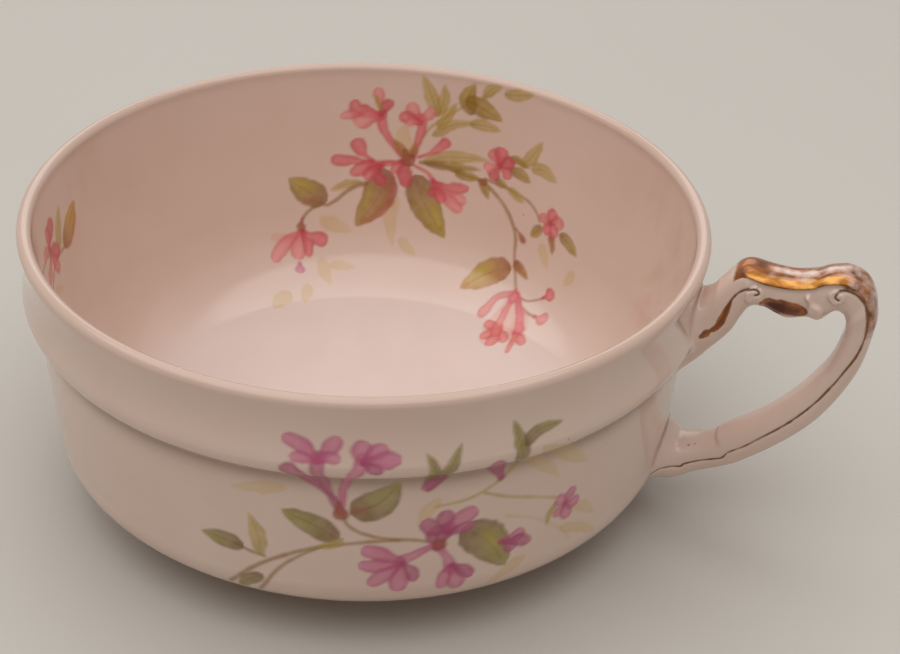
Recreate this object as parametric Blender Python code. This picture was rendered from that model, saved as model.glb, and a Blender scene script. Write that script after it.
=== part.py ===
"""Flat porcelain tea cup: a bowl with a stepped collar, a stuck-on foot ring and a cast scroll handle.

Every piece is modelled about the bowl's own axis, with the table at z = 0 and the handle along +X.
An empty then moves them all, so that the origin lies under the middle of the cup's box.
"""

import math

import bmesh
import bpy
from mathutils import Vector

# Bowl, in metres
RIM_RADIUS = 0.0500
CUP_HEIGHT = 0.0445
LIP_THICKNESS = 0.0021
COLLAR_WAIST = 0.00065
BEAD_DROP = 0.0102
BEAD_RADIUS = 0.0499
BEAD_ROUND = 0.0032
BEAD_TURN = math.radians(58.0)
STEP_DEPTH = 0.0004
LOWER_WALL_RADIUS = 0.0480
BASE_RADIUS = 0.04665
BASE_ROUND = 0.0065
BASE_ROUND_HEIGHT = 0.0126
WALL_THICKNESS = 0.00225
INNER_ROUND = 0.0100
FLOOR_THICKNESS = 0.0026

# Foot ring and its bed of slip
FOOT_RADIUS = 0.0285
FOOT_WIDTH = 0.0032
FOOT_RING_HEIGHT = 0.0019
FOOT_TREAD = 0.0018
FOOT_SHOULDER = 0.0007
SEAT_MARGIN = 0.0008

# Handle
HANDLE_REACH = 0.0240
HANDLE_RISE = 0.0028
LOWER_ROOT_HEIGHT = 0.0072
BAND_WIDTH = 0.0060
THUMB_WIDTH = 0.0070
ROOT_WIDTH = 0.0128
ROOT_FLARE = 0.0058
UPPER_FLARE_SINK = 0.0020
LOWER_FLARE_STAND = 0.00135

# Joints between the pieces
SLIP_THICKNESS = 0.0006
CLEARANCE = 0.0003

# How finely the round shapes are divided
TURNS = 72
COLLAR_STEPS = 6
ROUND_STEPS = 7
BEAD_STEPS = 5
LIP_STEPS = 6
SECTION_POINTS = 16
SPANS = 3
WALL_LEVELS = 48
WALL_SAMPLES_PER_GAP = 6

# The handle's section lies between an ellipse, at 2, and a rectangle
SQUARENESS = 2.6
SHARP_ANGLE = math.radians(50.0)

# The handle's side view, from the upper root over the thumb rest and round the loop to the lower root.
# Each station joins a point of the outer edge to the point across from it on the finger hole's edge.
# A point is (out, down). Down is a share of the height from the handle's top to its lowest point, and out
# is a share of the reach past the bowl that carries it: past the bowl's widest radius down to the upper
# root, past the base's radius from the lower root on, and past a radius between these two elsewhere.
HANDLE_STATIONS = (
    ((-0.330, 0.330), (-0.301, 0.640)),
    ((0.008, 0.184), (-0.011, 0.484)),
    ((0.083, 0.128), (0.099, 0.394)),
    ((0.150, 0.074), (0.183, 0.314)),
    ((0.200, 0.044), (0.233, 0.244)),
    ((0.258, 0.038), (0.275, 0.198)),
    ((0.358, 0.050), (0.350, 0.190)),
    ((0.496, 0.053), (0.479, 0.218)),
    ((0.617, 0.038), (0.600, 0.202)),
    ((0.692, 0.015), (0.675, 0.206)),
    ((0.792, 0.003), (0.754, 0.160)),
    ((0.887, 0.018), (0.804, 0.166)),
    ((0.954, 0.062), (0.825, 0.190)),
    ((0.990, 0.125), (0.829, 0.224)),
    ((1.000, 0.206), (0.821, 0.270)),
    ((0.957, 0.406), (0.766, 0.408)),
    ((0.812, 0.640), (0.591, 0.592)),
    ((0.506, 0.846), (0.317, 0.760)),
    ((0.223, 0.935), (0.115, 0.814)),
    ((0.032, 0.978), (0.002, 0.800)),
    ((-0.260, 0.900), (-0.296, 0.740)),
)
UPPER_ROOT_DOWN = 0.33
LOWER_ROOT_DOWN = 0.88
THUMB_FIRST = 4
THUMB_LAST = 12
ROOT_STATIONS = 3

# Sizes that follow from the ones above
LIP_ROUND = LIP_THICKNESS / 2
WIDEST_RADIUS = max(RIM_RADIUS, BEAD_RADIUS, LOWER_WALL_RADIUS, BASE_RADIUS)
SEAT_HEIGHT = FOOT_RING_HEIGHT + SLIP_THICKNESS + 2 * CLEARANCE
FLOOR_HEIGHT = SEAT_HEIGHT + FLOOR_THICKNESS
SEAT_RADIUS = FOOT_RADIUS + SEAT_MARGIN
ROOT_GAP = SLIP_THICKNESS + 2 * CLEARANCE
HANDLE_TOP = CUP_HEIGHT + HANDLE_RISE
HANDLE_HEIGHT = HANDLE_TOP - LOWER_ROOT_HEIGHT


def clear_scene():
    """Remove whatever the scene holds."""
    for obj in list(bpy.data.objects):
        bpy.data.objects.remove(obj, do_unlink=True)


def make_material(name, colour, roughness, metallic=0.0):
    """Return a Principled material of one colour."""
    material = bpy.data.materials.new(name)
    material.use_nodes = True
    shader = material.node_tree.nodes["Principled BSDF"]
    shader.inputs["Base Color"].default_value = (*colour, 1.0)
    shader.inputs["Roughness"].default_value = roughness
    shader.inputs["Metallic"].default_value = metallic
    return material


def between(first, second, share):
    """Return the value at a share of the way from one value to another."""
    return first + (second - first) * share


def arc(centre, radius, start, end, steps):
    """Return points on an arc in the (r, z) plane, both ends included."""
    points = []
    for step in range(steps + 1):
        angle = between(start, end, step / steps)
        points.append((centre[0] + radius * math.cos(angle), centre[1] + radius * math.sin(angle)))
    return points


def tangent_angle(centre, radius, point):
    """Return the angle on a circle at which a line from a point below it touches its outer, lower side."""
    across = point[0] - centre[0]
    up = point[1] - centre[1]
    return math.atan2(up, across) + math.acos(radius / math.hypot(across, up))


def outer_wall():
    """Return the bowl's outside, from the widest point of the lip down to the edge of the foot's seat."""
    lip_height = CUP_HEIGHT - LIP_ROUND
    bead_height = CUP_HEIGHT - BEAD_DROP
    points = []
    for step in range(COLLAR_STEPS):
        share = step / COLLAR_STEPS
        radius = between(RIM_RADIUS, BEAD_RADIUS, share) - COLLAR_WAIST * math.sin(math.pi * share)
        points.append((radius, between(lip_height, bead_height, share)))
    bead_centre = (BEAD_RADIUS - BEAD_ROUND, bead_height)
    points += arc(bead_centre, BEAD_ROUND, 0.0, -BEAD_TURN, BEAD_STEPS)
    points.append((LOWER_WALL_RADIUS, points[-1][1] - STEP_DEPTH))
    base_centre = (BASE_RADIUS - BASE_ROUND, BASE_ROUND_HEIGHT)
    seat_edge = (SEAT_RADIUS, SEAT_HEIGHT)
    base_end = tangent_angle(base_centre, BASE_ROUND, seat_edge)
    points += arc(base_centre, BASE_ROUND, 0.0, base_end, ROUND_STEPS)
    points.append(seat_edge)
    return points


def body_profile():
    """Return the bowl's half section, from the floor's middle over the lip to the underside's middle."""
    inner_radius = BASE_RADIUS - WALL_THICKNESS
    inner_centre = (inner_radius - INNER_ROUND, FLOOR_HEIGHT + INNER_ROUND)
    lip_centre = (RIM_RADIUS - LIP_ROUND, CUP_HEIGHT - LIP_ROUND)
    points = [(0.0, FLOOR_HEIGHT)]
    points += arc(inner_centre, INNER_ROUND, -math.pi / 2, 0.0, ROUND_STEPS)
    points += arc(lip_centre, LIP_ROUND, math.pi, 0.0, LIP_STEPS)[:-1]
    points += outer_wall()
    points.append((0.0, SEAT_HEIGHT))
    return points


def foot_profile():
    """Return the foot ring's section, which narrows to a flat tread."""
    outer = FOOT_RADIUS
    inner = FOOT_RADIUS - FOOT_WIDTH
    middle = (outer + inner) / 2
    return [
        (inner, FOOT_RING_HEIGHT),
        (outer, FOOT_RING_HEIGHT),
        (outer, FOOT_SHOULDER),
        (middle + FOOT_TREAD / 2, 0.0),
        (middle - FOOT_TREAD / 2, 0.0),
        (inner, FOOT_SHOULDER),
    ]


def foot_slip_profile():
    """Return the section of the slip between the foot ring and its seat."""
    low = FOOT_RING_HEIGHT + CLEARANCE
    high = low + SLIP_THICKNESS
    inner = FOOT_RADIUS - FOOT_WIDTH
    return [(inner, high), (FOOT_RADIUS, high), (FOOT_RADIUS, low), (inner, low)]


def dense(points, spacing):
    """Return points along straight lines between points, no further apart than a spacing."""
    result = []
    for first, second in zip(points, points[1:]):
        count = math.ceil(math.dist(first, second) / spacing)
        for step in range(count):
            share = step / count
            result.append((between(first[0], second[0], share), between(first[1], second[1], share)))
    result.append(points[-1])
    return result


def wall_heights(wall, distance):
    """Return the heights at which a grown wall has points, from the top down.

    They are even levels, and the heights that the wall's own corners reach when they are grown.
    """
    highest = wall[0][1]
    lowest = wall[-1][1]
    heights = [between(highest, lowest, level / WALL_LEVELS) for level in range(1, WALL_LEVELS)]
    heights += [z + distance for _, z in wall] + [z - distance for _, z in wall]
    kept = [highest]
    for height in sorted(heights, reverse=True):
        if lowest < height < kept[-1] - distance / WALL_SAMPLES_PER_GAP:
            kept.append(height)
    return [*kept, lowest]


def grown_wall(distance):
    """Return the half section of a solid that fills the bowl and reaches a distance past its outside."""
    wall = outer_wall()
    fine = dense(wall, distance / WALL_SAMPLES_PER_GAP)
    top = HANDLE_TOP + BAND_WIDTH
    points = [(0.0, top), (RIM_RADIUS + distance, top)]
    for height in wall_heights(wall, distance):
        reach = 0.0
        for radius, z in fine:
            offset = abs(z - height)
            if offset <= distance:
                reach = max(reach, radius + math.sqrt(distance * distance - offset * offset))
        points.append((reach, height))
    points.append((0.0, wall[-1][1]))
    return points


def turned(name, profile, material, closed):
    """Return an object that turns a half section about the Z axis.

    A closed section makes a ring. An open one starts and ends on the axis.
    """
    mesh = bpy.data.meshes.new(name)
    verts = [(radius, 0.0, z) for radius, z in profile]
    edges = [(i, i + 1) for i in range(len(verts) - 1)]
    if closed:
        edges.append((len(verts) - 1, 0))
    mesh.from_pydata(verts, edges, [])
    obj = bpy.data.objects.new(name, mesh)
    bpy.context.collection.objects.link(obj)
    mesh.materials.append(material)
    screw = obj.modifiers.new("turn", "SCREW")
    screw.axis = "Z"
    screw.steps = TURNS
    screw.render_steps = TURNS
    screw.use_merge_vertices = True
    screw.merge_threshold = 0.00001
    screw.use_smooth_shade = True
    return obj


def smooth_through(points, spans):
    """Return a smooth curve through points, with a number of spans between each two."""
    vectors = [Vector(point) for point in points]
    padded = [2 * vectors[0] - vectors[1], *vectors, 2 * vectors[-1] - vectors[-2]]
    curve = []
    for a, b, c, d in zip(padded, padded[1:], padded[2:], padded[3:]):
        for step in range(spans):
            t = step / spans
            curve.append(
                b
                + (c - a) * (0.5 * t)
                + (2 * a - 5 * b + 4 * c - d) * (0.5 * t * t)
                + (3 * b - a - 3 * c + d) * (0.5 * t * t * t)
            )
    curve.append(vectors[-1])
    return curve


def root_share(down):
    """Return where a share of the handle's height lies, from 0 at the upper root to 1 at the lower one."""
    share = (down - UPPER_ROOT_DOWN) / (LOWER_ROOT_DOWN - UPPER_ROOT_DOWN)
    return min(max(share, 0.0), 1.0)


def handle_point(share):
    """Turn an (out, down) share of the handle into a point (x, z)."""
    out, down = share
    carrier = between(WIDEST_RADIUS, BASE_RADIUS, root_share(down))
    return Vector((carrier + out * HANDLE_REACH, HANDLE_TOP - down * HANDLE_HEIGHT))


def half_width(middle, along):
    """Return half the handle's width across Y at a place along its stations.

    The thumb rest is a little wider than the band, and both roots flare out to meet the bowl.
    """
    width = BAND_WIDTH
    if THUMB_FIRST < along < THUMB_LAST:
        share = (along - THUMB_FIRST) / (THUMB_LAST - THUMB_FIRST)
        width += (THUMB_WIDTH - BAND_WIDTH) * math.sin(math.pi * share)
    lower = root_share((HANDLE_TOP - middle.y) / HANDLE_HEIGHT)
    widest = between(WIDEST_RADIUS - UPPER_FLARE_SINK, BASE_RADIUS + LOWER_FLARE_STAND, lower)
    near = (widest + ROOT_FLARE - middle.x) / ROOT_FLARE
    near = min(max(near, 0.0), 1.0)
    width += (ROOT_WIDTH - BAND_WIDTH) * near * near
    return width / 2


def handle_sections():
    """Return the handle's cross sections in order, each a ring of points."""
    outer = smooth_through([handle_point(station[0]) for station in HANDLE_STATIONS], SPANS)
    inner = smooth_through([handle_point(station[1]) for station in HANDLE_STATIONS], SPANS)
    sections = []
    for index, (edge, hole) in enumerate(zip(outer, inner)):
        middle = (edge + hole) / 2
        half = (edge - hole) / 2
        depth = half_width(middle, index / SPANS)
        ring = []
        for point in range(SECTION_POINTS):
            angle = 2 * math.pi * point / SECTION_POINTS
            up = math.copysign(abs(math.cos(angle)) ** (2 / SQUARENESS), math.cos(angle))
            side = math.copysign(abs(math.sin(angle)) ** (2 / SQUARENESS), math.sin(angle))
            place = middle + half * up
            ring.append((place.x, depth * side, place.y))
        sections.append(ring)
    return sections


def lofted(name, sections, material):
    """Return a solid skinned over cross sections, with flat ends."""
    bm = bmesh.new()
    rings = [[bm.verts.new(point) for point in ring] for ring in sections]
    for first, second in zip(rings, rings[1:]):
        for i in range(SECTION_POINTS):
            j = (i + 1) % SECTION_POINTS
            bm.faces.new((first[i], first[j], second[j], second[i]))
    bm.faces.new(rings[0])
    bm.faces.new(rings[-1])
    bmesh.ops.recalc_face_normals(bm, faces=bm.faces)
    mesh = bpy.data.meshes.new(name)
    bm.to_mesh(mesh)
    bm.free()
    mesh.shade_smooth()
    mesh.set_sharp_from_angle(angle=SHARP_ANGLE)
    mesh.materials.append(material)
    obj = bpy.data.objects.new(name, mesh)
    bpy.context.collection.objects.link(obj)
    return obj


def make_cutter(name, distance, material):
    """Return a hidden solid that fills the bowl and reaches a distance past its outside."""
    cutter = turned(name, grown_wall(distance), material, closed=False)
    cutter.hide_render = True
    cutter.display_type = "WIRE"
    return cutter


def cut(obj, cutter, operation):
    """Add a Boolean modifier with a cutter."""
    modifier = obj.modifiers.new(operation.lower(), "BOOLEAN")
    modifier.operation = operation
    modifier.solver = "EXACT"
    modifier.object = cutter


def main():
    """Build the cup's pieces and hang them on one empty."""
    clear_scene()
    bowl_glaze = make_material("glazed porcelain bowl", (0.78, 0.66, 0.60), 0.10)
    handle_glaze = make_material("glazed porcelain handle", (0.76, 0.64, 0.57), 0.12)
    foot_clay = make_material("unglazed porcelain foot", (0.74, 0.66, 0.60), 0.55)
    slip_clay = make_material("porcelain slip", (0.75, 0.65, 0.58), 0.20)

    slip_inside = make_cutter("slip_inside_cutter", CLEARANCE, slip_clay)
    slip_outside = make_cutter("slip_outside_cutter", CLEARANCE + SLIP_THICKNESS, slip_clay)
    root_cutter = make_cutter("root_cutter", ROOT_GAP, slip_clay)

    sections = handle_sections()
    root_sections = ROOT_STATIONS * SPANS + 1
    handle = lofted("handle", sections, handle_glaze)
    cut(handle, root_cutter, "DIFFERENCE")
    upper_slip = lofted("upper_slip_joint", sections[:root_sections], slip_clay)
    lower_slip = lofted("lower_slip_joint", sections[-root_sections:], slip_clay)
    for slip in (upper_slip, lower_slip):
        cut(slip, slip_outside, "INTERSECT")
        cut(slip, slip_inside, "DIFFERENCE")

    pieces = [
        turned("cup_body", body_profile(), bowl_glaze, closed=False),
        turned("foot_ring", foot_profile(), foot_clay, closed=True),
        turned("foot_slip_joint", foot_slip_profile(), slip_clay, closed=True),
        handle,
        upper_slip,
        lower_slip,
        slip_inside,
        slip_outside,
        root_cutter,
    ]
    cup = bpy.data.objects.new("cup_frame", None)
    cup.location = (-HANDLE_REACH / 2, 0.0, 0.0)
    bpy.context.collection.objects.link(cup)
    for piece in pieces:
        piece.parent = cup


main()
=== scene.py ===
"""Dress the flat cup: a printed porcelain bowl, its foot ring and a scroll handle with worn gilding.

Lengths are in millimetres, measured from the bowl's own axis and from the table, unless a name says
otherwise. They become metres only where a mesh, a lamp or the camera is made.
"""

import logging
import math
from collections.abc import Callable, Iterator, Sequence
from contextlib import contextmanager
from dataclasses import dataclass
from enum import Enum

import bpy
import numpy as np
from mathutils import Matrix, Vector


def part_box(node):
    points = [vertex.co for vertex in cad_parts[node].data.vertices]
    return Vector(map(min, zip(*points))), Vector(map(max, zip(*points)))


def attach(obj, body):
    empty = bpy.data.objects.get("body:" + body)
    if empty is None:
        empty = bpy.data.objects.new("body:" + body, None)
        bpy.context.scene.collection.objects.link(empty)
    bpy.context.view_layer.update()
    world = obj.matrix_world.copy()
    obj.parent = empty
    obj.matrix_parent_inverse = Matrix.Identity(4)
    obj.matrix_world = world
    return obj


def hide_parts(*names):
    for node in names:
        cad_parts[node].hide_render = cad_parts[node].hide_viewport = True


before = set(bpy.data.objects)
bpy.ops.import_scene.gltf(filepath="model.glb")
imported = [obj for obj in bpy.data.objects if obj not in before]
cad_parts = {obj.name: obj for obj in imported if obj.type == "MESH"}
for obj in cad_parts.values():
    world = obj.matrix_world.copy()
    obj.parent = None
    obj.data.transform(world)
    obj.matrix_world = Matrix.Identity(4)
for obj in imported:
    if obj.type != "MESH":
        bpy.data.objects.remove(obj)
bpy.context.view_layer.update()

MM = 0.001
LOG = logging.getLogger("flat_cup")
# Sockets of a node that mixes two colours: how much of the second, both colours, and the mix
SHARE, FIRST, SECOND = 0, 6, 7
MIXED = 2
# Large, unrelated numbers that scatter the cells of a drift
SCATTER = np.array([127.1, 311.7])
SCATTER_GAIN = 43758.5453

Point = tuple[float, float]
Colour = tuple[float, float, float, float]


def linear(code: str) -> Colour:
    """Turn an sRGB hex colour into linear light.

    Args:
        code: The colour as "#rrggbb".

    Returns:
        Red, green, blue and an alpha of 1.
    """
    parts = [int(code[place:place + 2], 16) / 255 for place in (1, 3, 5)]
    red, green, blue = (
        part / 12.92 if part <= 0.04045 else ((part + 0.055) / 1.055) ** 2.4 for part in parts)
    return (red, green, blue, 1.0)


def ease(low: float, high: float, value: np.ndarray) -> np.ndarray:
    """Rise smoothly from 0 at one value to 1 at another.

    Args:
        low: Where the rise starts.
        high: Where it ends. It may lie below low, and the rise is then a fall.
        value: Where to read it.

    Returns:
        The height of the rise at each value.
    """
    share = np.clip((value - low) / (high - low), 0.0, 1.0)
    return share * share * (3.0 - 2.0 * share)


def drift(spots: np.ndarray, size: float) -> np.ndarray:
    """Wander smoothly and without a pattern between -1 and 1.

    Args:
        spots: Points in a plane, one row each.
        size: How far apart the ups and downs lie.

    Returns:
        The value at each spot.
    """
    cell = np.floor(spots / size)
    inside = spots / size - cell
    inside = inside * inside * (3.0 - 2.0 * inside)
    total = np.zeros(len(spots))
    for corner in ((0, 0), (1, 0), (0, 1), (1, 1)):
        chance = np.sin((cell + corner) @ SCATTER) * SCATTER_GAIN
        weight = np.where(corner, inside, 1.0 - inside).prod(axis=1)
        total += weight * (2.0 * (chance - np.floor(chance)) - 1.0)
    return total


def smooth_line(points: Sequence[Point], spans: int) -> np.ndarray:
    """Run a smooth curve through points.

    Args:
        points: The points in order.
        spans: How many spans lie between each two points.

    Returns:
        The curve's points, one row each.
    """
    given = np.asarray(points, dtype=float)
    padded = np.vstack([2 * given[0] - given[1], given, 2 * given[-1] - given[-2]])
    share = np.arange(spans)[:, None] / spans
    rows = []
    for before, start, end, after in zip(padded, padded[1:], padded[2:], padded[3:]):
        bend = 2 * before - 5 * start + 4 * end - after
        twist = 3 * start - before - 3 * end + after
        rows.append(start + 0.5 * share * ((end - before) + share * (bend + share * twist)))
    rows.append(given[-1:])
    return np.vstack(rows)


def travel(line: np.ndarray) -> np.ndarray:
    """Return the length along a line up to each of its points."""
    return np.concatenate([[0.0], np.cumsum(np.hypot(*np.diff(line, axis=0).T))])


def add_node(tree: bpy.types.NodeTree, kind: str, inputs: dict | None = None,
             **settings: object) -> bpy.types.Node:
    """Add a node with its settings, values and links.

    Args:
        tree: The node tree to add it to.
        kind: The node's type name.
        inputs: What each input socket takes, by its name or number: a value, or another node's output.
        settings: The node's own properties.

    Returns:
        The new node.
    """
    node = tree.nodes.new(kind)
    for name, value in settings.items():
        setattr(node, name, value)
    for socket, source in (inputs or {}).items():
        if isinstance(source, bpy.types.NodeSocket):
            tree.links.new(source, node.inputs[socket])
        else:
            node.inputs[socket].default_value = source
    return node


@contextmanager
def editing(piece: bpy.types.Object, faces: bool = False) -> Iterator[None]:
    """Hold one piece, alone, in edit mode.

    Args:
        piece: The piece.
        faces: Whether faces are selected rather than vertices.

    Yields:
        Nothing. The piece is in edit mode until the block ends.
    """
    bpy.ops.object.select_all(action="DESELECT")
    piece.select_set(True)
    bpy.context.view_layer.objects.active = piece
    bpy.context.tool_settings.mesh_select_mode = (not faces, False, faces)
    bpy.ops.object.mode_set(mode="EDIT")
    yield
    bpy.ops.object.mode_set(mode="OBJECT")


def positions(mesh: bpy.types.Mesh) -> np.ndarray:
    """Read where a mesh's vertices are.

    Args:
        mesh: The mesh.

    Returns:
        The vertices in millimetres, one row each.
    """
    flat = np.empty(len(mesh.vertices) * 3)
    mesh.vertices.foreach_get("co", flat)
    return flat.reshape(-1, 3) / MM


def move_to(mesh: bpy.types.Mesh, places: np.ndarray) -> None:
    """Put a mesh's vertices at places given in millimetres."""
    mesh.vertices.foreach_set("co", (places * MM).ravel())
    mesh.update()


def paint(mesh: bpy.types.Mesh, name: str, values: np.ndarray) -> None:
    """Store a colour with alpha at each vertex, under a name that a finish reads."""
    layer = mesh.attributes.new(name, "FLOAT_COLOR", "POINT")
    layer.data.foreach_set("color", values.astype(np.float32).ravel())


class Form(Enum):
    """How the width of a stroke runs from its start to its end."""

    LINE = "even, thinning a little"
    TUBE = "narrow, then opening"
    BUD = "a thin stalk with a round head"
    PETAL = "narrow, then broad with a round end"
    LEAF = "broad in the middle and pointed"

    def swell(self, share: np.ndarray) -> np.ndarray:
        """Work out how wide the stroke is.

        Args:
            share: Shares of the stroke's length.

        Returns:
            The width at each share, where the widest is 1.
        """
        if self is Form.LINE:
            return 1.0 - 0.25 * share
        if self is Form.TUBE:
            return 0.50 + 0.50 * share * share
        if self is Form.BUD:
            return 0.28 + 0.72 * ease(0.25, 0.90, share)
        if self is Form.PETAL:
            return (0.40 + 0.60 * ease(0.0, 0.55, share)) * np.sqrt(np.clip(1.0 - share**6, 0.0, 1.0))
        # The first number makes the widest place of the leaf 1
        return 2.38 * np.clip(share, 0.0, 1.0) ** 0.50 * np.clip(1.0 - share, 0.0, 1.0) ** 0.80


class Shade(Enum):
    """The edge that a stroke's colour deepens to, seen along the stroke as it is drawn."""

    BOTH = 0
    LEFT = -1
    RIGHT = 1

    def depth(self, side: np.ndarray) -> np.ndarray:
        """Return how near each place across the stroke, from -1 to 1, lies to the deeper edge."""
        return np.abs(side) if self is Shade.BOTH else side * self.value


@dataclass(frozen=True)
class Ink:
    """A print colour that runs from a stroke's start to its end and deepens towards an edge.

    Attributes:
        start: Colour at the start.
        end: Colour at the end.
        edge: Colour that the edge runs to.
        density: How much of the ground it hides, from 0 to 1.
    """

    start: str
    end: str
    edge: str
    density: float


ROSE = Ink("#cc4853", "#dc6c71", "#bd3a4c", 0.94)
BLUSH = Ink("#d9676d", "#e8918e", "#cd5862", 0.90)
CORAL = Ink("#c84e50", "#dc7c77", "#c0454b", 0.88)
CRIMSON = Ink("#be3e4b", "#cd5159", "#ae3144", 0.95)
MAUVE = Ink("#be5077", "#d17a97", "#af436d", 0.92)
PLUM = Ink("#a6456a", "#bd6282", "#963b61", 0.92)
WASH = Ink("#de9587", "#e19d8d", "#d98c81", 0.50)
OLIVE = Ink("#93701f", "#b0922a", "#8b5a26", 0.94)
FRESH = Ink("#905e28", "#aa8d27", "#8a642a", 0.97)
RUSSET = Ink("#94502c", "#a9832a", "#b04c44", 0.97)
GOLDEN = Ink("#9c581e", "#c69c34", "#ac6e28", 0.95)
MOSS = Ink("#805e2e", "#988a36", "#78502c", 0.94)
SEDGE = Ink("#b0923a", "#c0a248", "#a2822c", 0.82)
GHOST = Ink("#cba85f", "#cfae6a", "#c59f57", 0.50)
TWIG = Ink("#946e32", "#9f7836", "#8f5930", 0.88)
LIGHT = Ink("#b0a03c", "#bca848", "#a8923a", 0.70)
RUST = Ink("#a84a3c", "#b0524a", "#9c4236", 0.66)
CALYX = Ink("#9d4d2e", "#a65936", "#8b3e26", 0.92)
GROUND = Ink("#000000", "#000000", "#000000", 1.0)


@dataclass(frozen=True)
class Stroke:
    """One touch of the brush along a smooth line, in the plane of its drawing.

    Attributes:
        form: How its width runs.
        ink: Its colour.
        path: The points that its middle passes through.
        width: Half its greatest width.
        soft: How far its edge blurs.
        shade: The edge that its colour deepens to.
    """

    form: Form
    ink: Ink
    path: tuple[Point, ...]
    width: float
    soft: float = 0.30
    shade: Shade = Shade.BOTH

    # Spans between two points of the path, and the most that a stroke reaches out, in its widths
    SPANS = 9
    REACH = 1.3
    # How far the edge wanders, as a share of the width, and how far apart its ups and downs lie
    WOBBLE = 0.20
    WOBBLE_SIZE = 1.1
    # How much colour the mottling takes away, and the size and weight of each drift that makes it
    MOTTLE = 0.24
    MOTTLE_DRIFTS = ((1.3, 0.6), (0.6, 0.4))
    # The share of the length at which the end colour is reached, and how far and from where the edge deepens
    END_FROM = 0.7
    EDGE_PULL = 0.65
    EDGE_FROM = 0.15
    # Leaves of more than this density have a rib, of this half width and blur, and a darker rim
    RIBBED_DENSITY = 0.7
    RIB = 0.15
    RIB_SOFT = 0.10
    RIB_END = 0.7
    RIB_PULL = 0.55
    RIM_FROM = 0.65
    RIM_PULL = 0.45
    RIB_DARKNESS = 0.75

    def near(self, spots: np.ndarray, margin: float) -> np.ndarray:
        """Find the spots in the stroke's box.

        Args:
            spots: Points in the plane of the drawing.
            margin: How far past the stroke's reach the box goes.

        Returns:
            Whether each spot lies in the box.
        """
        line = np.asarray(self.path)
        reach = self.width * self.REACH + margin
        return np.all((spots > line.min(axis=0) - reach) & (spots < line.max(axis=0) + reach), axis=1)

    def measure(self, spots: np.ndarray) -> tuple[np.ndarray, np.ndarray, np.ndarray]:
        """Measure where spots lie on the stroke.

        Args:
            spots: Points in the plane of the drawing.

        Returns:
            Each spot's share along the stroke, its distance across, positive to the right, and the half
            width there.
        """
        line = smooth_line(self.path, self.SPANS)
        start, step = line[:-1], np.diff(line, axis=0)
        length = np.hypot(*step.T)
        travelled = travel(line)
        from_start = spots[:, None] - start
        along = np.clip((from_start * step).sum(axis=2) / length**2, 0.0, 1.0)
        gap = from_start - along[..., None] * step
        distance = np.hypot(gap[..., 0], gap[..., 1])
        nearest = distance.argmin(axis=1)
        row = np.arange(len(spots))
        share = (travelled[nearest] + along[row, nearest] * length[nearest]) / travelled[-1]
        turn = step[nearest, 1] * gap[row, nearest, 0] - step[nearest, 0] * gap[row, nearest, 1]
        across = np.copysign(distance[row, nearest], turn)
        half = self.width * self.form.swell(share)
        return share, across, half + self.WOBBLE * np.minimum(half, 1.0) * drift(spots, self.WOBBLE_SIZE)

    def cover(self, spots: np.ndarray) -> np.ndarray:
        """Work out how much of the stroke covers each spot.

        Args:
            spots: Points in the plane of the drawing.

        Returns:
            The cover at each spot, from 0 to 1.
        """
        amount = np.zeros(len(spots))
        close = self.near(spots, self.soft)
        if close.any():
            _, across, half = self.measure(spots[close])
            amount[close] = ease(-self.soft, self.soft, half - np.abs(across))
        return amount

    def touches(self, spots: np.ndarray, margin: float) -> np.ndarray:
        """Find the spots on the stroke or close to it.

        Args:
            spots: Points in the plane of the drawing.
            margin: How far from the stroke still counts.

        Returns:
            Whether each spot lies within the margin.
        """
        result = np.zeros(len(spots), dtype=bool)
        close = self.near(spots, margin)
        if close.any():
            _, across, half = self.measure(spots[close])
            result[close] = np.abs(across) - half < margin
        return result

    def lay(self, spots: np.ndarray, film: np.ndarray) -> None:
        """Lay the stroke's colour over what a film already holds.

        Args:
            spots: Where the film's points are.
            film: Colour times density, and density, at each point. It is changed in place.
        """
        close = self.near(spots, self.soft)
        if not close.any():
            return
        here = spots[close]
        share, across, half = self.measure(here)
        side = self.shade.depth(np.clip(across / np.maximum(half, 1e-6), -1.0, 1.0))
        codes = (self.ink.start, self.ink.end, self.ink.edge)
        start, end, edge = (np.array(linear(code)[:3]) for code in codes)
        tone = start + (end - start) * ease(0.0, self.END_FROM, share)[:, None]
        tone += (edge - tone) * (self.EDGE_PULL * ease(self.EDGE_FROM, 1.0, side))[:, None]
        if self.form is Form.LEAF and self.ink.density > self.RIBBED_DENSITY:
            rib = ease(self.RIB + self.RIB_SOFT, self.RIB - self.RIB_SOFT, np.abs(across))
            rib *= ease(1.0, self.RIB_END, share)
            rim = ease(self.RIM_FROM, 1.0, -side)
            darker = np.maximum(self.RIB_PULL * rib, self.RIM_PULL * rim)
            tone += (edge * self.RIB_DARKNESS - tone) * darker[:, None]
        wash = sum(weight * drift(here, size) for size, weight in self.MOTTLE_DRIFTS)
        amount = self.ink.density * (1.0 - self.MOTTLE * (0.5 + 0.5 * wash))
        amount = (amount * ease(-self.soft, self.soft, half - np.abs(across)))[:, None]
        film[close] = film[close] * (1.0 - amount) + np.hstack([tone, np.ones_like(amount)]) * amount


def stem(ink: Ink, width: float, *path: Point) -> Stroke:
    """Return a thin stem."""
    return Stroke(Form.LINE, ink, path, width)


def tube(ink: Ink, width: float, *path: Point) -> Stroke:
    """Return the tube of a floret, which opens towards its end."""
    return Stroke(Form.TUBE, ink, path, width)


def bud(ink: Ink, width: float, *path: Point) -> Stroke:
    """Return a bud on its stalk."""
    return Stroke(Form.BUD, ink, path, width)


def petal(ink: Ink, width: float, *path: Point) -> Stroke:
    """Return a petal."""
    return Stroke(Form.PETAL, ink, path, width)


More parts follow.
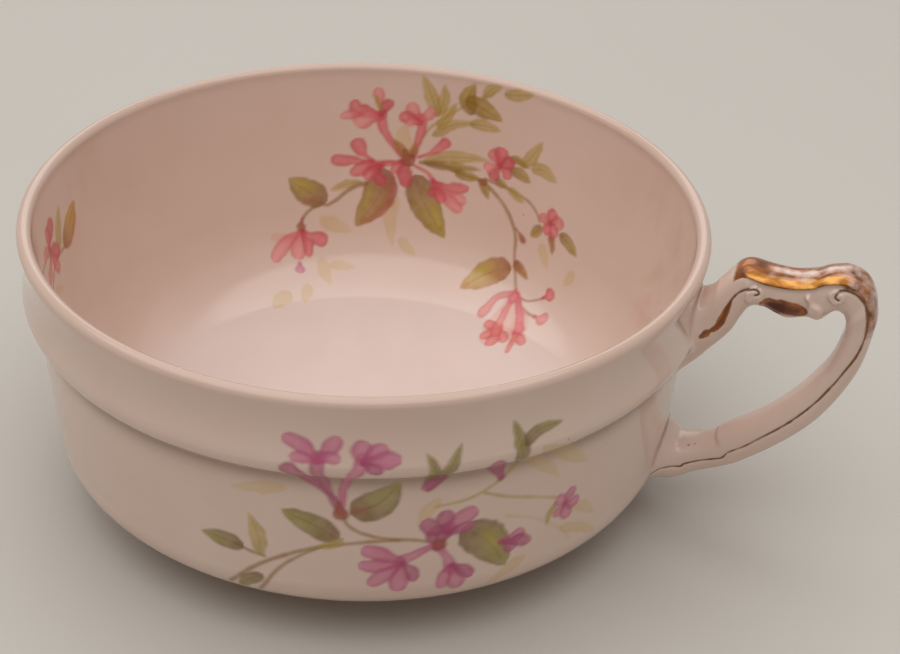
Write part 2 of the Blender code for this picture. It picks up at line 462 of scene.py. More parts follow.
def leaf(ink: Ink, width: float, *path: Point, shade: Shade = Shade.LEFT) -> Stroke:
    """Return a leaf with its rib and one darker half."""
    return Stroke(Form.LEAF, ink, path, width, shade=shade)


def patch(ink: Ink, width: float, *path: Point, soft: float = 0.9) -> Stroke:
    """Return a patch of light or of rust on a leaf, with a wide soft edge."""
    return Stroke(Form.LINE, ink, path, width, soft)


class Side(Enum):
    """The side of the bowl that a spray is printed on, with the way its drawing runs round the bowl."""

    INSIDE = -1
    OUTSIDE = 1


@dataclass(frozen=True)
class Spray:
    """A printed spray of flowers, drawn flat: x runs to the right and y down the wall from the lip.

    Attributes:
        side: The side of the bowl that it is on.
        start_angle: Where x is 0, in degrees from the handle.
        radius: The radius at which x is a true length round the bowl.
        strokes: Its strokes, the lowest first.
    """

    side: Side
    start_angle: float
    radius: float
    strokes: tuple[Stroke, ...]

    # How far before its start a drawing may still reach, in radians
    BEFORE = 0.5

    def flatten(self, angle: np.ndarray, depth: np.ndarray) -> np.ndarray:
        """Turn places on the bowl into the plane of the drawing.

        Args:
            angle: Angles round the bowl, in radians from the handle.
            depth: Lengths along the section from the top of the lip, negative on the inside.

        Returns:
            The places in the drawing, one row each. Those on the other side lie far away.
        """
        turned = (angle - math.radians(self.start_angle)) * self.side.value
        turned = np.mod(turned + math.pi, 2 * math.pi) - math.pi
        turned = np.where(turned < -self.BEFORE, turned + 2 * math.pi, turned)
        return np.column_stack([turned * self.radius, depth * self.side.value])

    def touches(self, spots: np.ndarray, margin: float) -> np.ndarray:
        """Find the spots on the spray or close to it.

        Args:
            spots: Points in the plane of the drawing.
            margin: How far from a stroke still counts.

        Returns:
            Whether each spot lies within the margin of any stroke.
        """
        result = np.zeros(len(spots), dtype=bool)
        for stroke in self.strokes:
            result |= stroke.touches(spots, margin)
        return result

    def lay(self, spots: np.ndarray, film: np.ndarray) -> None:
        """Lay all its strokes on a film."""
        for stroke in self.strokes:
            stroke.lay(spots, film)


MAIN_SPRAY = Spray(side=Side.INSIDE, start_angle=150.0, radius=46.0, strokes=(
    # Pale leaves behind the flowers
    leaf(GHOST, 1.35, (41.3, 15.4), (40.5, 13.0), (40.7, 10.4)),
    leaf(GHOST, 1.20, (39.8, 23.5), (38.7, 27.2), (39.4, 32.8)),
    leaf(GHOST, 0.95, (40.4, 31.2), (42.0, 32.6), (43.8, 34.0)),
    leaf(GHOST, 1.35, (26.0, 28.0), (28.4, 29.0), (31.8, 30.3)),
    leaf(GHOST, 1.30, (25.8, 34.6), (26.4, 37.2), (27.3, 39.6)),
    leaf(GHOST, 0.80, (27.4, 36.0), (29.8, 36.2), (32.4, 36.7)),
    leaf(GHOST, 1.45, (18.6, 40.6), (16.2, 41.2), (13.4, 42.8)),
    leaf(GHOST, 1.25, (22.6, 39.2), (21.8, 40.8), (20.6, 42.8)),
    leaf(GHOST, 0.95, (67.4, 26.2), (68.3, 28.0), (69.8, 30.0)),
    leaf(GHOST, 0.90, (75.3, 28.2), (74.9, 29.8), (74.1, 31.4)),
    # Leaves above, up to the lip
    stem(SEDGE, 0.24, (43.2, 14.0), (44.4, 11.4), (46.3, 9.5), (49.0, 7.2), (51.2, 5.6), (53.8, 3.7),
         (56.0, 2.2)),
    leaf(SEDGE, 1.15, (46.0, 8.8), (44.9, 5.4), (43.2, 1.7)),
    leaf(SEDGE, 0.95, (46.1, 8.4), (46.9, 5.8), (46.9, 2.8)),
    leaf(SEDGE, 0.95, (46.3, 10.8), (47.5, 8.6), (49.1, 5.8)),
    leaf(SEDGE, 0.90, (45.3, 12.2), (48.8, 9.7), (52.6, 8.8)),
    leaf(SEDGE, 1.00, (51.6, 9.1), (54.2, 8.8), (57.0, 9.1)),
    leaf(OLIVE, 1.40, (51.9, 7.4), (50.9, 4.8), (51.9, 1.9)),
    leaf(OLIVE, 1.60, (50.4, 4.9), (53.4, 5.9), (57.1, 7.3)),
    leaf(SEDGE, 0.90, (53.5, 4.0), (54.7, 2.3), (56.5, 1.4)),
    leaf(SEDGE, 1.05, (57.0, 2.6), (59.2, 2.3), (62.2, 1.3)),
    # Leaves beside the whorl
    leaf(SEDGE, 1.10, (43.9, 17.1), (48.6, 15.5), (55.4, 14.7)),
    leaf(OLIVE, 0.85, (44.2, 17.3), (49.0, 17.2), (54.2, 16.7)),
    leaf(FRESH, 2.80, (42.6, 19.6), (45.0, 25.2), (48.8, 30.2)),
    patch(LIGHT, 0.80, (46.4, 25.4), (47.5, 28.0)),
    leaf(RUSSET, 2.90, (37.4, 18.8), (36.4, 24.2), (32.5, 29.4), shade=Shade.RIGHT),
    patch(LIGHT, 0.60, (35.0, 22.6), (34.2, 25.6)),
    patch(RUST, 0.20, (38.8, 21.4), (38.2, 24.6), (35.8, 27.2), (33.6, 28.6)),
    # Left branch, with its hanging flower
    leaf(SEDGE, 0.80, (33.6, 21.4), (30.8, 21.8), (28.0, 22.8)),
    stem(TWIG, 0.40, (34.2, 21.6), (31.6, 22.6), (29.4, 24.4), (27.6, 25.4), (26.4, 25.0)),
    leaf(FRESH, 2.30, (27.4, 24.8), (24.2, 22.8), (20.8, 20.0), shade=Shade.RIGHT),
    patch(LIGHT, 0.80, (24.4, 21.8), (22.2, 20.9)),
    patch(RUST, 0.10, (25.4, 24.6), (23.6, 24.4)),
    stem(TWIG, 0.30, (26.0, 25.2), (24.2, 26.3), (23.0, 27.7), (22.7, 29.0)),
    petal(WASH, 0.85, (21.2, 30.8), (19.2, 30.6), (16.9, 30.2)),
    petal(BLUSH, 1.45, (22.2, 30.0), (19.2, 31.8), (16.6, 34.2)),
    petal(BLUSH, 1.70, (22.4, 30.0), (22.0, 32.0), (21.4, 34.6)),
    petal(ROSE, 1.10, (22.8, 30.0), (23.6, 32.0), (23.7, 34.4)),
    petal(MAUVE, 1.10, (21.6, 35.4), (21.5, 36.2), (21.4, 37.0)),
    bud(ROSE, 1.30, (23.0, 29.8), (24.8, 30.8), (26.2, 31.6)),
    bud(CALYX, 0.85, (23.0, 27.6), (22.8, 28.3), (22.7, 29.0)),
    # Right stem, its two round flowers and its leaves
    stem(TWIG, 0.36, (43.6, 17.2), (47.5, 17.3), (51.5, 18.2), (54.3, 18.6), (57.0, 20.1), (59.5, 22.3),
         (61.3, 24.9), (62.2, 27.2), (62.5, 29.6), (63.2, 31.8), (64.2, 33.8), (65.3, 35.8)),
    stem(TWIG, 0.28, (55.2, 18.2), (58.5, 18.6), (61.2, 19.2), (63.8, 19.9), (65.6, 21.3), (66.4, 22.6)),
    leaf(OLIVE, 0.95, (49.6, 18.0), (51.6, 18.3), (54.0, 18.4)),
    leaf(OLIVE, 0.85, (54.3, 18.3), (55.0, 19.6), (56.1, 21.6)),
    leaf(SEDGE, 0.80, (59.6, 18.6), (61.0, 19.4), (62.9, 20.4)),
    leaf(OLIVE, 0.75, (57.0, 17.8), (58.0, 18.2), (59.4, 18.6)),
    leaf(OLIVE, 1.10, (59.4, 15.4), (61.2, 15.6), (63.6, 16.5)),
    leaf(SEDGE, 1.15, (61.4, 14.2), (63.0, 12.2), (64.8, 8.8)),
    leaf(SEDGE, 1.20, (63.4, 14.2), (65.6, 13.6), (68.6, 14.8)),
    leaf(OLIVE, 0.70, (59.0, 13.6), (60.6, 13.4), (63.0, 14.1)),
    petal(ROSE, 1.20, (57.4, 15.2), (56.6, 13.8), (55.3, 13.2)),
    petal(ROSE, 1.35, (57.6, 15.0), (57.6, 13.4), (58.0, 11.9)),
    petal(CRIMSON, 1.30, (57.6, 15.2), (58.8, 14.6), (59.6, 13.2)),
    petal(ROSE, 1.15, (57.6, 15.6), (58.8, 16.0), (59.4, 17.2)),
    petal(CRIMSON, 1.15, (57.2, 15.6), (56.8, 16.8), (56.2, 18.0)),
    petal(BLUSH, 1.00, (57.0, 15.4), (55.8, 15.8), (54.9, 16.6)),
    patch(WASH, 0.10, (56.2, 14.8), (55.8, 15.0)),
    bud(CALYX, 0.75, (54.0, 18.6), (54.4, 18.6), (54.8, 18.8)),
    leaf(OLIVE, 1.00, (66.8, 23.2), (66.2, 24.4), (65.0, 25.8)),
    leaf(RUSSET, 0.75, (69.0, 23.6), (69.5, 25.2), (70.0, 27.4)),
    leaf(OLIVE, 1.15, (70.8, 23.2), (72.6, 23.9), (75.3, 25.6)),
    petal(ROSE, 1.20, (68.6, 22.0), (68.6, 20.8), (69.6, 19.9)),
    petal(CORAL, 1.10, (68.8, 22.0), (70.0, 21.4), (70.9, 22.6)),
    petal(ROSE, 1.00, (68.7, 22.2), (69.6, 23.2), (69.2, 24.4)),
    petal(ROSE, 1.05, (68.5, 22.2), (68.0, 23.4), (67.2, 23.9)),
    petal(CORAL, 1.00, (68.4, 22.0), (67.2, 21.8), (66.6, 20.9)),
    bud(CALYX, 0.65, (62.0, 25.4), (62.9, 26.2), (63.6, 26.9)),
    leaf(RUSSET, 0.85, (62.9, 30.8), (64.3, 31.9), (66.6, 33.1)),
    leaf(GOLDEN, 2.45, (62.6, 32.2), (58.8, 34.2), (54.0, 38.1), shade=Shade.RIGHT),
    patch(LIGHT, 0.60, (58.0, 33.4), (56.4, 35.2)),
    patch(RUST, 0.10, (55.4, 37.2), (54.4, 37.8)),
    # Hanging flower on the right stem
    stem(CALYX, 0.20, (66.6, 36.5), (68.6, 36.4), (70.5, 35.4), (71.8, 34.3)),
    stem(CALYX, 0.26, (66.4, 36.6), (68.0, 37.7), (70.0, 38.3), (72.2, 38.3)),
    petal(WASH, 3.40, (65.4, 36.4), (66.4, 41.0), (67.6, 47.8)),
    petal(WASH, 1.80, (67.0, 37.4), (69.8, 40.2), (73.2, 45.2)),
    bud(ROSE, 1.15, (71.2, 34.8), (71.8, 34.3), (72.2, 33.9)),
    bud(CORAL, 1.25, (71.8, 38.2), (73.0, 38.2), (73.7, 38.1)),
    petal(CORAL, 1.10, (67.0, 43.0), (65.4, 43.2), (63.0, 43.2)),
    petal(CORAL, 1.30, (66.8, 43.4), (65.9, 45.2), (65.0, 46.8)),
    petal(CORAL, 1.50, (67.0, 43.6), (67.8, 45.6), (68.7, 47.8)),
    petal(CORAL, 1.05, (67.4, 43.4), (69.2, 44.3), (71.0, 45.4)),
    petal(CORAL, 1.05, (70.6, 41.8), (72.6, 42.9), (75.0, 43.8)),
    petal(CORAL, 0.60, (71.0, 43.0), (72.6, 45.2), (74.2, 47.2)),
    petal(CORAL, 1.10, (70.0, 40.6), (71.2, 41.6), (71.4, 43.6)),
    tube(CORAL, 1.20, (65.2, 36.2), (62.9, 37.2), (61.7, 38.9), (61.2, 41.4)),
    tube(CORAL, 1.30, (65.5, 36.2), (65.4, 39.4), (66.0, 42.2), (67.0, 44.2)),
    tube(ROSE, 1.20, (65.9, 36.2), (67.8, 38.4), (69.5, 40.0), (71.0, 41.8)),
    bud(ROSE, 0.95, (65.2, 35.4), (65.4, 36.2), (65.5, 37.0)),
    # Florets and buds of the whorl
    bud(ROSE, 1.00, (38.8, 17.5), (34.6, 17.7), (31.6, 17.5), (29.3, 17.4)),
    bud(ROSE, 1.25, (35.4, 17.4), (34.0, 16.4), (32.9, 14.6)),
    bud(ROSE, 0.90, (43.2, 16.3), (45.4, 15.2), (47.6, 13.2)),
    petal(CRIMSON, 1.45, (41.4, 16.4), (40.8, 18.6), (41.5, 22.0)),
    petal(ROSE, 0.85, (41.2, 16.8), (39.8, 18.0), (38.8, 19.6)),
    tube(ROSE, 0.80, (40.2, 17.4), (37.6, 18.0), (35.2, 18.8)),
    petal(ROSE, 1.35, (37.0, 18.2), (34.4, 18.5), (31.5, 20.0)),
    petal(CRIMSON, 1.10, (36.8, 18.6), (36.2, 20.0), (37.4, 21.8)),
    petal(ROSE, 1.20, (36.4, 18.4), (35.0, 19.8), (34.2, 21.0)),
    tube(ROSE, 0.50, (42.4, 17.8), (44.8, 18.9), (46.0, 20.4)),
    petal(CRIMSON, 1.00, (45.9, 20.2), (46.8, 21.6), (45.2, 23.0)),
    petal(ROSE, 1.10, (46.2, 20.6), (49.2, 21.2), (52.4, 20.4)),
    petal(BLUSH, 1.35, (46.6, 21.2), (49.0, 22.6), (52.2, 23.0)),
    petal(BLUSH, 1.35, (47.0, 21.8), (49.4, 23.6), (51.4, 25.0)),
    petal(ROSE, 1.10, (46.4, 21.4), (47.2, 22.8), (48.0, 24.0)),
    tube(ROSE, 1.00, (40.2, 16.2), (38.4, 13.9), (37.2, 11.9), (36.6, 9.2)),
    petal(ROSE, 1.30, (36.6, 9.6), (34.6, 8.8), (32.8, 8.4), (32.0, 6.6)),
    petal(BLUSH, 1.65, (36.6, 9.6), (34.2, 9.8), (32.4, 11.2)),
    petal(BLUSH, 0.80, (33.6, 9.2), (31.8, 9.2), (29.8, 9.6)),
    petal(CRIMSON, 1.00, (36.6, 9.2), (37.2, 7.8), (38.6, 6.7)),
    petal(BLUSH, 0.95, (36.5, 7.6), (36.2, 6.0), (36.1, 4.4)),
    leaf(SEDGE, 0.50, (36.7, 8.4), (36.0, 7.0), (35.7, 5.6)),
    tube(ROSE, 1.05, (42.2, 16.2), (42.9, 13.4), (43.4, 11.2), (43.1, 9.4)),
    petal(BLUSH, 1.30, (43.1, 9.8), (42.0, 8.6), (41.6, 6.6)),
    petal(BLUSH, 0.95, (43.2, 9.6), (44.4, 8.6), (45.2, 7.2)),
    petal(ROSE, 1.25, (43.1, 10.2), (41.4, 9.5), (39.6, 9.3)),
    petal(BLUSH, 0.80, (42.9, 10.2), (41.8, 10.2), (40.8, 10.7)),
    leaf(RUSSET, 0.75, (41.4, 17.2), (40.2, 15.2), (38.7, 13.4)),
    leaf(RUSSET, 0.70, (41.2, 17.0), (42.2, 15.4), (42.6, 13.8)),
    bud(CALYX, 1.40, (40.8, 15.4), (41.0, 16.2), (41.3, 16.8)),
))

FRONT_SPRAY = Spray(side=Side.OUTSIDE, start_angle=-140.0, radius=48.0, strokes=(
    # Pale leaves and twigs behind the flowers
    leaf(GHOST, 1.30, (79.4, 11.2), (83.6, 15.0), (89.4, 19.8)),
    leaf(GHOST, 1.00, (77.0, 13.6), (80.6, 16.2), (84.2, 20.0)),
    leaf(GHOST, 1.00, (87.4, 26.4), (89.8, 28.0), (92.4, 30.4)),
    leaf(GHOST, 1.00, (85.6, 29.8), (89.4, 31.6), (93.6, 34.4)),
    leaf(GHOST, 1.10, (80.0, 32.6), (77.4, 34.0), (74.4, 36.4)),
    leaf(GHOST, 1.10, (46.2, 17.0), (43.0, 17.6), (38.4, 18.6)),
    leaf(GHOST, 1.00, (66.4, 18.6), (65.0, 20.4), (63.6, 23.0)),
    stem(SEDGE, 0.24, (72.6, 19.0), (76.0, 20.6), (80.0, 22.0), (84.6, 24.0)),
    stem(GHOST, 0.22, (76.0, 24.0), (80.6, 26.0), (85.6, 30.0), (88.0, 33.0)),
    # Long stems from the lower left
    stem(TWIG, 0.34, (37.0, 36.6), (40.6, 32.6), (45.0, 29.4), (50.0, 27.0), (56.0, 25.7), (62.0, 25.4),
         (66.0, 26.4)),
    stem(TWIG, 0.28, (41.6, 36.8), (44.4, 32.0), (47.4, 29.0), (50.6, 26.8)),
    stem(TWIG, 0.30, (53.4, 19.6), (54.2, 22.6), (57.0, 24.4), (61.0, 25.4)),
    stem(TWIG, 0.26, (42.6, 29.8), (40.6, 29.4), (38.6, 28.6)),
    leaf(MOSS, 1.50, (39.8, 29.0), (37.2, 28.4), (33.4, 28.2)),
    leaf(SEDGE, 1.20, (42.0, 29.8), (42.0, 26.4), (40.8, 22.6)),
    leaf(MOSS, 1.10, (42.4, 33.4), (40.0, 35.0), (38.4, 37.6)),
    leaf(MOSS, 2.00, (53.0, 25.2), (49.4, 22.8), (45.4, 20.9)),
    leaf(SEDGE, 0.70, (53.6, 25.0), (52.2, 26.2), (50.0, 26.9)),
    # Upper flower, on the collar and over the step
    leaf(MOSS, 2.50, (54.6, 20.6), (58.2, 18.8), (61.0, 15.4)),
    patch(RUST, 0.30, (54.8, 20.2), (56.6, 20.0)),
    leaf(MOSS, 0.90, (64.6, 17.2), (65.2, 12.4), (63.9, 9.0)),
    leaf(MOSS, 1.05, (65.0, 16.8), (66.6, 12.6), (68.4, 8.2)),
    petal(PLUM, 0.95, (66.8, 15.0), (65.4, 15.8), (63.8, 16.8)),
    leaf(MOSS, 1.00, (76.6, 14.6), (76.4, 10.4), (75.2, 6.2)),
    leaf(MOSS, 0.95, (76.8, 10.4), (78.8, 8.6), (82.4, 8.4)),
    stem(SEDGE, 0.26, (76.8, 15.0), (74.0, 17.6), (70.4, 19.4), (66.0, 20.0)),
    petal(PLUM, 1.40, (74.6, 16.8), (73.8, 14.6), (73.0, 11.8)),
    tube(PLUM, 1.10, (53.2, 20.4), (51.6, 16.6), (50.6, 12.6), (50.6, 9.6)),
    tube(MAUVE, 1.05, (53.4, 20.4), (53.6, 16.6), (54.8, 12.8), (56.2, 9.8)),
    bud(PLUM, 1.30, (52.4, 18.0), (49.4, 15.0), (47.0, 12.0)),
    petal(MAUVE, 1.30, (50.6, 10.0), (49.0, 8.4), (46.2, 6.8)),
    petal(MAUVE, 1.20, (50.8, 9.8), (51.8, 8.4), (53.2, 6.4)),
    petal(MAUVE, 0.95, (50.6, 10.2), (51.8, 9.6), (53.4, 9.8)),
    petal(MAUVE, 0.95, (50.4, 10.2), (48.6, 9.8), (47.0, 9.8)),
    petal(MAUVE, 1.40, (56.2, 10.0), (55.8, 8.6), (56.6, 7.0)),
    petal(MAUVE, 1.15, (56.4, 9.8), (57.8, 8.6), (59.0, 7.6)),
    petal(MAUVE, 1.30, (56.4, 10.0), (58.6, 9.8), (60.9, 9.6)),
    petal(PLUM, 0.85, (56.2, 10.2), (57.4, 11.0), (58.6, 11.6)),
    bud(CALYX, 1.10, (53.0, 18.8), (53.2, 19.8), (53.4, 20.8)),
    # Lower flower
    leaf(MOSS, 3.10, (69.8, 24.4), (73.8, 28.0), (76.8, 33.2)),
    patch(LIGHT, 0.90, (73.4, 26.6), (75.0, 29.0)),
    petal(PLUM, 1.80, (66.6, 27.4), (66.4, 25.4), (67.2, 23.4)),
    petal(PLUM, 1.15, (75.8, 28.6), (77.0, 29.2), (77.6, 30.9)),
    petal(MAUVE, 1.20, (75.8, 28.4), (77.8, 28.4), (79.0, 27.2)),
    petal(PLUM, 1.10, (76.4, 28.8), (78.6, 29.2), (80.6, 30.2)),
    tube(MAUVE, 1.10, (66.2, 27.0), (67.6, 29.0), (68.6, 31.6)),
    petal(MAUVE, 1.05, (68.4, 31.0), (67.6, 33.0), (67.2, 35.2)),
    petal(MAUVE, 1.35, (68.6, 31.2), (69.4, 33.4), (69.6, 35.8)),
    petal(PLUM, 1.10, (68.8, 31.0), (70.2, 32.0), (71.8, 33.6)),
    tube(MAUVE, 1.10, (66.0, 26.8), (63.6, 28.0), (61.4, 29.4)),
    petal(MAUVE, 1.45, (61.6, 29.2), (59.0, 28.0), (56.0, 26.8)),
    petal(MAUVE, 1.30, (61.4, 29.6), (58.8, 30.0), (55.6, 29.8)),
    petal(MAUVE, 1.30, (61.4, 29.8), (59.2, 31.6), (57.0, 33.4)),
    petal(MAUVE, 1.50, (61.6, 30.0), (61.4, 32.4), (61.0, 34.8)),
    petal(PLUM, 1.00, (61.8, 29.6), (63.0, 31.2), (63.4, 33.2)),
    tube(PLUM, 1.25, (66.4, 27.2), (66.8, 25.6), (67.6, 24.2)),
    petal(PLUM, 1.40, (67.4, 24.8), (65.6, 23.8), (64.2, 22.2)),
    petal(PLUM, 1.35, (67.6, 24.4), (67.2, 22.6), (67.6, 20.8)),
    petal(MAUVE, 1.45, (67.8, 24.4), (69.4, 22.8), (71.8, 21.6)),
    petal(PLUM, 1.10, (67.8, 24.8), (69.6, 24.6), (71.4, 24.0)),
    bud(CALYX, 1.00, (66.0, 27.6), (66.3, 27.2), (66.6, 26.8)),
    # Small flower at the right
    leaf(SEDGE, 0.65, (84.4, 24.6), (83.4, 26.4), (83.0, 28.4)),
    petal(MAUVE, 1.10, (86.0, 25.6), (85.0, 24.6), (84.0, 24.2)),
    petal(MAUVE, 1.05, (86.0, 25.4), (86.6, 24.2), (87.4, 23.2)),
    petal(MAUVE, 1.10, (86.0, 25.6), (87.2, 26.0), (88.6, 26.0)),
    petal(MAUVE, 1.10, (86.0, 25.8), (86.2, 27.2), (87.0, 28.6)),
    petal(MAUVE, 0.85, (85.8, 25.8), (84.8, 26.6), (84.6, 27.6)),
))

LEFT_SPRIG = Spray(side=Side.INSIDE, start_angle=215.0, radius=46.0, strokes=(
    leaf(SEDGE, 1.20, (20.6, 12.8), (21.8, 10.0), (23.8, 6.8)),
    leaf(GOLDEN, 2.00, (22.8, 13.6), (25.4, 11.8), (28.8, 8.6)),
    stem(TWIG, 0.30, (7.6, 9.8), (11.0, 10.0), (15.0, 10.4)),
    leaf(GHOST, 0.70, (15.2, 16.4), (17.0, 17.4), (19.2, 18.4)),
    stem(TWIG, 0.30, (12.4, 16.0), (15.0, 14.6), (18.6, 13.2), (23.0, 13.4)),
    petal(CORAL, 1.00, (16.6, 10.4), (14.8, 9.6), (12.2, 9.8)),
    petal(CORAL, 1.15, (16.4, 11.4), (14.4, 13.0), (12.2, 13.6)),
    petal(CRIMSON, 1.45, (16.6, 10.2), (18.2, 8.4), (20.4, 7.2)),
    petal(ROSE, 1.20, (16.4, 10.4), (17.0, 8.8), (17.0, 6.8)),
    petal(CRIMSON, 1.30, (16.4, 10.6), (18.6, 11.6), (20.8, 13.2)),
    petal(ROSE, 1.20, (16.6, 11.0), (17.8, 13.0), (19.2, 15.4)),
    bud(CRIMSON, 0.90, (15.4, 10.8), (16.0, 10.8), (16.6, 10.8)),
))


def new_finish(name: str) -> tuple[bpy.types.Material, bpy.types.Node, bpy.types.NodeSocket]:
    """Start a finish.

    Args:
        name: What it is and how it was made.

    Returns:
        The new material, its shader, and where each point lies on the piece.
    """
    material = bpy.data.materials.new(name)
    material.use_nodes = True
    place = add_node(material.node_tree, "ShaderNodeTexCoord").outputs["Object"]
    return material, material.node_tree.nodes["Principled BSDF"], place


@dataclass(frozen=True)
class GlazedPorcelain:
    """Hard porcelain under a clear glaze: white clay fired with a dipped coat of glass.

    The eye sees a warm, slightly uneven white under a sharp, wet gloss, with soft waves where the glaze ran.
    Where it is gilded, gold was painted on the glaze and fired: bright where it lasted, brown where it wore.

    Attributes:
        name: What it is and how it was made.
        print_layer: Name of the print's colours on the mesh, if it has a print.
        gilding_layer: Name of the gilding's amounts on the mesh, if it is gilded.
        body: Colour of the clay through the glaze.
        shade: Colour where the glaze is thicker.
        cloud: Size of the drifts in the colour.
        ior: How much the glaze bends light.
        gloss: Roughness of the glaze.
        haze: How far its roughness strays, to either side.
        wave: Length of the waves in the glaze.
        wave_height: Height of the waves.
        wave_strength: How much of that height shows.
        speck: Colour of the iron specks in the clay.
        speck_gap: How far apart the specks lie.
        speck_edge: Where a speck is full and where it ends, as shares of that gap.
        speck_density: How much of the clay a speck hides.
        bright_gold: Colour of the polished gold that lasted.
        dull_gold: Colour of that gold between the polished streaks.
        worn_gold: Colour of rubbed gold.
        burnt_gold: Colour of rubbed gold that turned brown.
        line_gold: Colour of the thin painted lines.
        stain_and_shade: Colour of dirt on the worn gold, which also paints shade on the bracket under the
            thumb rest.
        gold_roughness: Roughness of the gold.
        worn_metal: How much of a metal the rubbed gold still is.
        rub: Size of the patches that rubbing left.
        burn: Size of the burnt drifts.
        streak: Height of the polished streaks.
        streak_shape: Scale of the streaks' coordinates along x, y and z. A small one draws a streak out.
        burnt_range: Where the noise turns from rubbed to burnt gold.
        polished_range: Where the noise turns from dull to polished gold.
        lasting_ranges: Where an amount plus the noise of rubbing starts to show, and where it shows in full,
            for the bright gold, the worn gold, the lines, and the stains with the painted shade.
    """

    name: str
    print_layer: str = ""
    gilding_layer: str = ""

    body: str = "#e1c9bc"
    shade: str = "#d9bcac"
    cloud: float = 14.0
    ior: float = 1.52
    gloss: float = 0.07
    haze: tuple[float, float] = (-0.02, 0.03)
    wave: float = 5.0
    wave_height: float = 0.04
    wave_strength: float = 0.25
    speck: str = "#8a6a50"
    speck_gap: float = 9.0
    speck_edge: tuple[float, float] = (0.015, 0.028)
    speck_density: float = 0.45

    bright_gold: str = "#c08c50"
    dull_gold: str = "#855424"
    worn_gold: str = "#a8622e"
    burnt_gold: str = "#7a4420"
    line_gold: str = "#7c5230"
    stain_and_shade: str = "#562610"
    gold_roughness: float = 0.32
    worn_metal: float = 0.25
    rub: float = 1.8
    burn: float = 2.2
    streak: float = 1.0
    streak_shape: tuple[float, float, float] = (0.35, 0.8, 1.0)
    burnt_range: tuple[float, float] = (0.40, 0.62)
    polished_range: tuple[float, float] = (0.38, 0.62)
    lasting_ranges: tuple[tuple[float, float], ...] = (
        (1.00, 1.45), (0.92, 1.30), (0.95, 1.40), (0.75, 1.30))

    def make(self) -> bpy.types.Material:
        """Make the finish.

        Returns:
            The finish as a material.
        """
        material, shader, place = new_finish(self.name)
        tree = material.node_tree
        shader.inputs["IOR"].default_value = self.ior
        clouds = add_node(tree, "ShaderNodeTexNoise", {
            "Vector": place, "Scale": 1 / (self.cloud * MM), "Detail": 3.0}).outputs["Fac"]
        ground = add_node(tree, "ShaderNodeMix", {
            SHARE: clouds, FIRST: linear(self.body), SECOND: linear(self.shade),
        }, data_type="RGBA").outputs[MIXED]
        # Iron specks in the clay, about half a millimetre across and far apart
        dots = add_node(tree, "ShaderNodeTexVoronoi", {"Vector": place, "Scale": 1 / (self.speck_gap * MM)})
        full, ends = self.speck_edge
        dot = add_node(tree, "ShaderNodeMapRange", {
            "Value": dots.outputs["Distance"], "From Min": full, "From Max": ends,
            "To Min": self.speck_density, "To Max": 0.0})
        ground = add_node(tree, "ShaderNodeMix", {
            SHARE: dot.outputs["Result"], FIRST: ground, SECOND: linear(self.speck),
        }, data_type="RGBA").outputs[MIXED]
        if self.print_layer:
            ground = self.printed(tree, ground)
        waves = add_node(tree, "ShaderNodeTexNoise", {
            "Vector": place, "Scale": 1 / (self.wave * MM), "Detail": 1.0})
        bump = add_node(tree, "ShaderNodeBump", {
            "Height": waves.outputs["Fac"], "Strength": self.wave_strength,
            "Distance": self.wave_height * MM})
        tree.links.new(bump.outputs["Normal"], shader.inputs["Normal"])
        if self.gilding_layer:
            self.gild(tree, shader, ground, place)
        else:
            tree.links.new(ground, shader.inputs["Base Color"])
            below, above = self.haze
            hazy = add_node(tree, "ShaderNodeMapRange", {
                "Value": clouds, "To Min": self.gloss + below, "To Max": self.gloss + above})
            tree.links.new(hazy.outputs["Result"], shader.inputs["Roughness"])
        return material

    def printed(self, tree: bpy.types.NodeTree, ground: bpy.types.NodeSocket) -> bpy.types.NodeSocket:
        """Lay the print over the ground colour.

        Args:
            tree: The material's nodes.
            ground: The colour of the bare porcelain.

        Returns:
            The colour with the print.
        """
        film = add_node(tree, "ShaderNodeAttribute", attribute_name=self.print_layer)
        bare = add_node(tree, "ShaderNodeMath", {0: 1.0, 1: film.outputs["Alpha"]}, operation="SUBTRACT")
        left = add_node(tree, "ShaderNodeVectorMath", {
            0: ground, "Scale": bare.outputs[0]}, operation="SCALE")
        return add_node(tree, "ShaderNodeVectorMath", {
            0: left.outputs[0], 1: film.outputs["Color"]}, operation="ADD").outputs[0]

    def gild(self, tree: bpy.types.NodeTree, shader: bpy.types.Node, ground: bpy.types.NodeSocket,
             place: bpy.types.NodeSocket) -> None:
        """Lay worn gold over the glaze, bright where it lasted and brown where it is rubbed or dirty.

        Args:
            tree: The material's nodes.
            shader: The material's shader.
            ground: The colour of the bare porcelain.
            place: Where each point lies on the piece.
        """
        layer = add_node(tree, "ShaderNodeAttribute", attribute_name=self.gilding_layer)
        amount = add_node(tree, "ShaderNodeSeparateColor", {"Color": layer.outputs["Color"]})
        amounts = [*amount.outputs, layer.outputs["Alpha"]]
        # Rubbing breaks the gold up in patches about two millimetres across
        rub = add_node(tree, "ShaderNodeTexNoise", {
            "Vector": place, "Scale": 1 / (self.rub * MM), "Detail": 4.0, "Roughness": 0.55}).outputs["Fac"]
        lasting = []
        for channel, (low, high) in zip(amounts, self.lasting_ranges):
            total = add_node(tree, "ShaderNodeMath", {0: channel, 1: rub}, operation="ADD")
            lasting.append(add_node(tree, "ShaderNodeMapRange", {
                "Value": total.outputs[0], "From Min": low, "From Max": high}).outputs["Result"])
        bright, worn, line, stain_and_shade_amount = lasting
